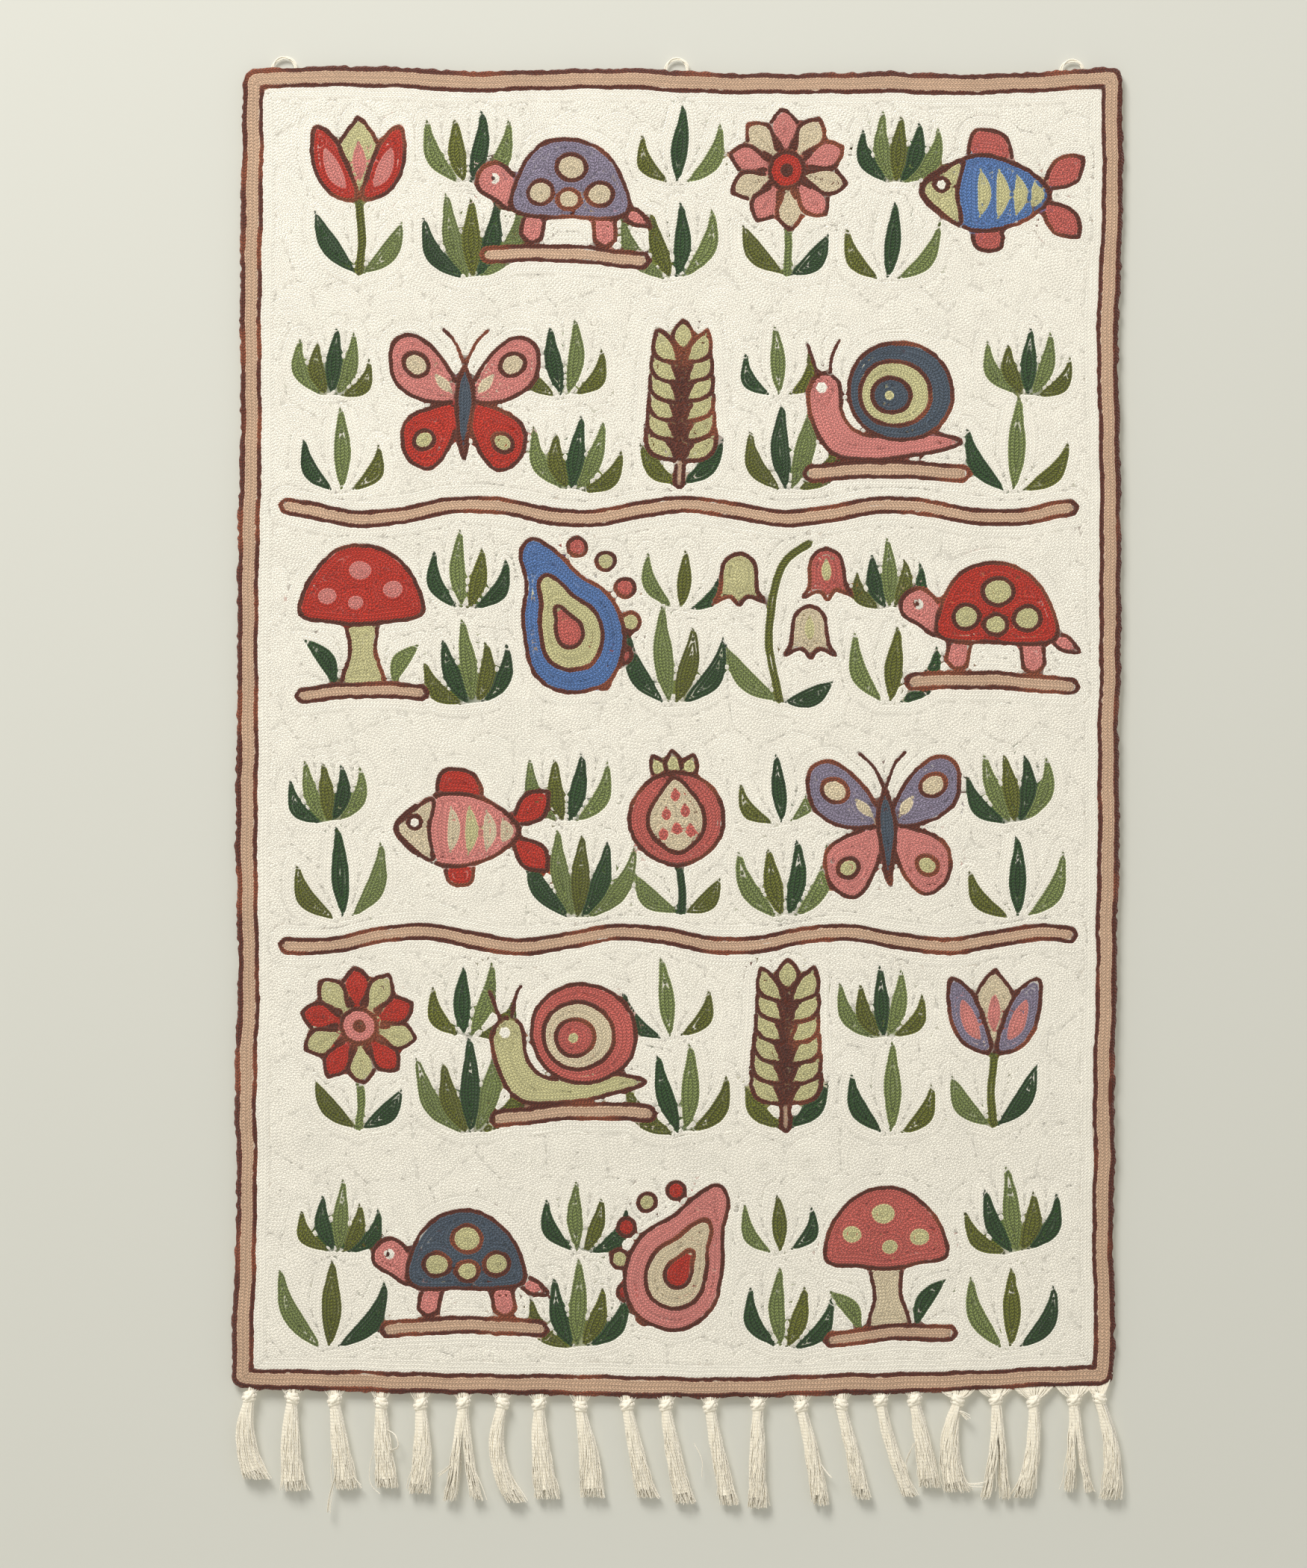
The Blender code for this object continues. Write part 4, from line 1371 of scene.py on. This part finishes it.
def knot(bunch, tassel, y, rng):
    """A round knob: a core, three thick turns about it and one end that crosses them."""
    knot_x, knot_z = tassel[0], tassel[1]
    angle = np.linspace(0, 2 * math.pi, 21)[None]
    lean = rng.uniform(0.12, 0.34) * (1 if rng.random() < 0.6 else -1)
    for level, wide in ((-2.2, 0.86), (0.2, 1.04), (2.4, 0.84)):
        tilt = lean + rng.uniform(-0.06, 0.06)
        x = knot_x + KNOT_HALF * wide * np.cos(angle)
        z = knot_z + level + KNOT_HALF * wide * np.cos(angle) * tilt + 0.2 * np.sin(2 * angle + level)
        depth = y + KNOT_DEEP * wide * np.sin(angle)
        bunch.add(np.stack([x, depth, z], 2), 1.5, sides=9)
    cross = np.linspace(0, 1, 9)[None]
    hand = -1 if lean > 0 else 1
    x = knot_x + hand * (cross - 0.5) * 5.4
    z = knot_z + 3.0 - 5.6 * cross
    depth = y - 2.6 - 1.5 * np.sin(cross * math.pi)
    bunch.add(np.stack([x, depth, z], 2), 1.15 * np.sin(0.35 + 2.4 * cross), sides=9)
    lines = np.stack([np.full((1, 5), knot_x), np.full((1, 5), y), knot_z + np.linspace(-3.8, 3.8, 5)[None]], 2)
    bunch.add(lines, np.array([[2.4, 3.4, 3.6, 3.4, 2.6]]), sides=12)

# %% [markdown]
# ## Loose ends
# A few threads have slipped out: some hang below their tassel, one bows out in a loop, one crosses to its
# neighbour. At the right end the threads leave the cloth in wide loose webs that nearly touch.

# %% Webs and strays
SWAGS = {190.0: 13.0, 217.0: 13.5, 243.0: 15.0, 271.0: 14.0, 288.5: 9.0}
STRAYS = [
    ([(-240, -968), (-243, -982), (-245, -997)], 4),
    ([(-236, -962), (-228, -972), (-222, -979)], 2),
    ([(-212, -950), (-217, -965), (-216, -977), (-210, -984)], 1),
    ([(-206, -940), (-199, -945), (-197, -953), (-203, -956)], 3),
    ([(-154, -955), (-161, -966), (-169, -972)], 4),
    ([(-68, -950), (-72, -966), (-71, -975)], 1),
    ([(8, -950), (13, -962), (13, -972)], 1),
    ([(88, -955), (97, -966), (103, -974)], 2),
    ([(160, -950), (155, -962), (155, -972)], 2),
    ([(186, -927), (193, -929), (198, -933)], 6),
    ([(189, -975), (198, -979), (208, -979)], 3),
    ([(296, -955), (301, -966), (302, -976)], 2),
]

def loose(bunch, line, threads, rng):
    """Single threads along one rough line."""
    line = through(line, 5, closed=False)
    y = float(rim_at(line[0, 0])[1])
    share = np.linspace(0, 1, len(line))
    for _ in range(threads):
        wide = rng.uniform(-1.6, 1.6, 2)
        x = line[:, 0] + wide[0] * share + 0.4 * np.sin(share * 7 + wide[1])
        z = line[:, 1] + wide[1] * share * 1.5
        depth = y - 1.5 + rng.uniform(-1, 1) + 0.5 * np.sin(share * 5)
        bunch.add(np.stack([x, depth, z], 1)[None], 0.36)

# %% [markdown]
# ## Three lengths of fringe
# The tassels are joined in three pieces, left, middle and right, each standing in for its own solids.

# %% Make the fringe
rng = np.random.default_rng(21)
fringe = []
for name, start, end in (("fringe_left", 0, 7), ("fringe_middle", 7, 15), ("fringe_right", 15, 22)):
    bunch = Bunch()
    for tassel in TASSELS[start:end]:
        y = float(rim_at(tassel[0])[1])
        hang(bunch, tassel, y, rng)
        fan(bunch, tassel, y, rng, swag=SWAGS.get(tassel[0], 0.0))
        knot(bunch, tassel, y, rng)
    for line, threads in STRAYS:
        if TASSELS[start][0] - 15 < line[0][0] <= TASSELS[end - 1][0] + 13:
            loose(bunch, line, threads, rng)
    piece = bunch.made(name)
    fringe.append((piece, [f"tassel_{n + 1:02d}" for n in range(start, end)]))
    print(name, "faces:", len(piece.data.polygons))

def twisted_cotton(name):
    """Soft white thread: fine strands that wind round it, with painted shade where they meet."""
    cotton = Finish(name, roughness=0.88, sheen=0.2)
    run, turn = cotton.number("run"), cotton.number("turn")
    strand = ((run * 0.42 + turn * 2).part() * 2 - 1) ** 2
    fuzz = cotton.noise(1700.0, 2.0)
    cotton.relief((1 - strand) * 0.5 + fuzz * 0.5, 0.00025)
    cloudy = cotton.noise(70.0, 2.0)
    # painted shade: the thread is darker where its strands meet
    light = ((1 - strand) * 0.1 + 0.92) * (fuzz * 0.14 + 0.94) * (cloudy * 0.1 + 0.95)
    cotton.colour(cotton.shaded(tuple(linear("cotton")), light))
    return cotton

tassel_cotton = twisted_cotton("twisted_cotton")
tassel_cotton.dress(*[piece for piece, _ in fringe])

# %% [markdown]
# ## Hanging loops
# Three thin strands of yarn, laid loosely together, make each loop. They follow the solid's own arc: two
# legs behind the cloth and a round crown above its edge, where the strands part a little.

# %% Make the loops
LOOPS = [("loop_left", -276, 11.6, 8.0), ("loop_middle", -4, 10.6, 7.4), ("loop_right", 270, 9.6, 7.4)]
loops = []
for name, x, crown, half_span in LOOPS:
    solid = np.array([v.co for v in frame["nodes"][name].data.vertices]) / MM
    y = (solid[:, 1].min() + solid[:, 1].max()) / 2
    spring = crown - 1.4 - half_span
    arc = np.linspace(math.pi, 0, 15)
    line = np.concatenate([
        [(x - half_span, -13.6), (x - half_span, -9), (x - half_span, -5)],
        np.stack([x + half_span * np.cos(arc), spring + half_span * np.sin(arc)], 1),
        [(x + half_span, -5), (x + half_span, -9), (x + half_span, -13.6)],
    ])
    run = np.concatenate([[0], np.cumsum(np.linalg.norm(np.diff(line, axis=0), axis=1))])
    places = np.linspace(0, run[-1], 44)
    line = np.stack([np.interp(places, run, line[:, 0]), np.interp(places, run, line[:, 1])], 1)
    out = line - np.roll(line, 1, 0)
    out[0] = out[1]
    out /= np.linalg.norm(out, axis=1)[:, None]
    out = np.stack([-out[:, 1], out[:, 0]], 1)
    bunch = Bunch()
    for strand in range(3):
        wind = places * 0.13 + strand * 2 * math.pi / 3
        raised = np.clip(np.sin(places / run[-1] * math.pi), 0, 1)
        slack = 0.75 + 0.45 * raised * np.sin(places * 0.31 + strand * 1.9)
        place = line + out * (slack * np.cos(wind))[:, None]
        depth = y + 0.62 * np.sin(wind)
        bunch.add(np.stack([place[:, 0], depth, place[:, 1]], 1)[None], 0.48, sides=6)
    loops.append((bunch.made(name + "_yarn"), name))
tassel_cotton.dress(*[piece for piece, _ in loops])
print("loops:", [piece.name for piece, _ in loops])

# %% [markdown]
# ## Which piece stands for which solid
# Every piece rides on the cloth and stands in for its solids, which are hidden.

for piece in (canvas, *stitch_tiles, *back_tiles):
    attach(piece, "root")
    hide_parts("panel")
for piece, nodes in fringe:
    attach(piece, "root")
    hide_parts(*nodes)
for piece, node in loops:
    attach(piece, "root")
    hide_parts(node)
print("pieces:", 1 + len(stitch_tiles) + len(back_tiles) + len(fringe) + len(loops))

# %% [markdown]
# ## Wall, floor and light
# The wall is seen only from the front, so it doesn't hide the back of the cloth from a camera behind it.
# A broad lamp at the upper left gives the soft shadows of a bright room, and the sky fills the rest. A
# second lamp lights the back for views from behind.

# %% Stage
WALL_Y = 0.0062

def plain(name, dye, one_sided=False):
    """A matt paint. A one-sided one is clear from behind."""
    material = bpy.data.materials.new(name)
    material.use_nodes = True
    tree = material.node_tree
    shader = tree.nodes["Principled BSDF"]
    shader.inputs["Base Color"].default_value = (*linear(dye), 1.0)
    shader.inputs["Roughness"].default_value = 0.95
    shader.inputs["Specular IOR Level"].default_value = 0.1
    if one_sided:
        clear = tree.nodes.new("ShaderNodeBsdfTransparent")
        facing = tree.nodes.new("ShaderNodeNewGeometry")
        chosen = tree.nodes.new("ShaderNodeMixShader")
        tree.links.new(facing.outputs["Backfacing"], chosen.inputs[0])
        tree.links.new(shader.outputs[0], chosen.inputs[1])
        tree.links.new(clear.outputs[0], chosen.inputs[2])
        tree.links.new(chosen.outputs[0], tree.nodes["Material Output"].inputs["Surface"])
    return material

DYES["wall"] = (205, 205, 197)
DYES["floor"] = (190, 189, 181)
bpy.ops.mesh.primitive_plane_add(size=8, location=(0, WALL_Y, -0.5), rotation=(math.pi / 2, 0, 0))
wall = bpy.context.object
wall.name = "wall"
wall.data.materials.append(plain("wall_paint", "wall", one_sided=True))
wall.visible_shadow = False
wall.visible_diffuse = False
bpy.ops.mesh.primitive_plane_add(size=8, location=(0, 0, -1.6))
floor = bpy.context.object
floor.name = "floor"
floor.data.materials.append(plain("floor_paint", "floor"))

def lamp(name, place, target, size, power, colour):
    light = bpy.data.lights.new(name, "AREA")
    light.shape, light.size, light.energy, light.color = "SQUARE", size, power, colour
    made = bpy.data.objects.new(name, light)
    made.location = place
    made.rotation_euler = (Vector(target) - Vector(place)).to_track_quat("-Z", "Y").to_euler()
    bpy.context.scene.collection.objects.link(made)


lamp("window", (-1.35, -2.6, 2.35), (0.0, 0.0, -0.3), 1.6, 138.0, (1.0, 0.985, 0.955))
lamp("back_lamp", (1.5, 3.0, 1.2), (0.0, 0.0, -0.5), 1.6, 110.0, (1.0, 0.99, 0.97))

world = bpy.data.worlds.new("sky")
world.use_nodes = True
world.node_tree.nodes["Background"].inputs["Color"].default_value = (1.0, 0.99, 0.965, 1.0)
world.node_tree.nodes["Background"].inputs["Strength"].default_value = 0.6
bpy.context.scene.world = world

# %% [markdown]
# ## Camera
# The camera stands straight in front, 3.2 m away, with a long lens, and frames the cloth with a margin.

# %% Camera
lens = bpy.data.cameras.new("camera")
lens.sensor_fit = "VERTICAL"
lens.sensor_height = 36.0
lens.lens = 106.1
lens.clip_end = 50
camera = bpy.data.objects.new("camera", lens)
camera.location = (-0.0202, -3.2, -0.4936)
camera.rotation_euler = (math.pi / 2, 0, 0)
bpy.context.scene.collection.objects.link(camera)
bpy.context.scene.camera = camera
bpy.context.scene.view_settings.view_transform = "Standard"
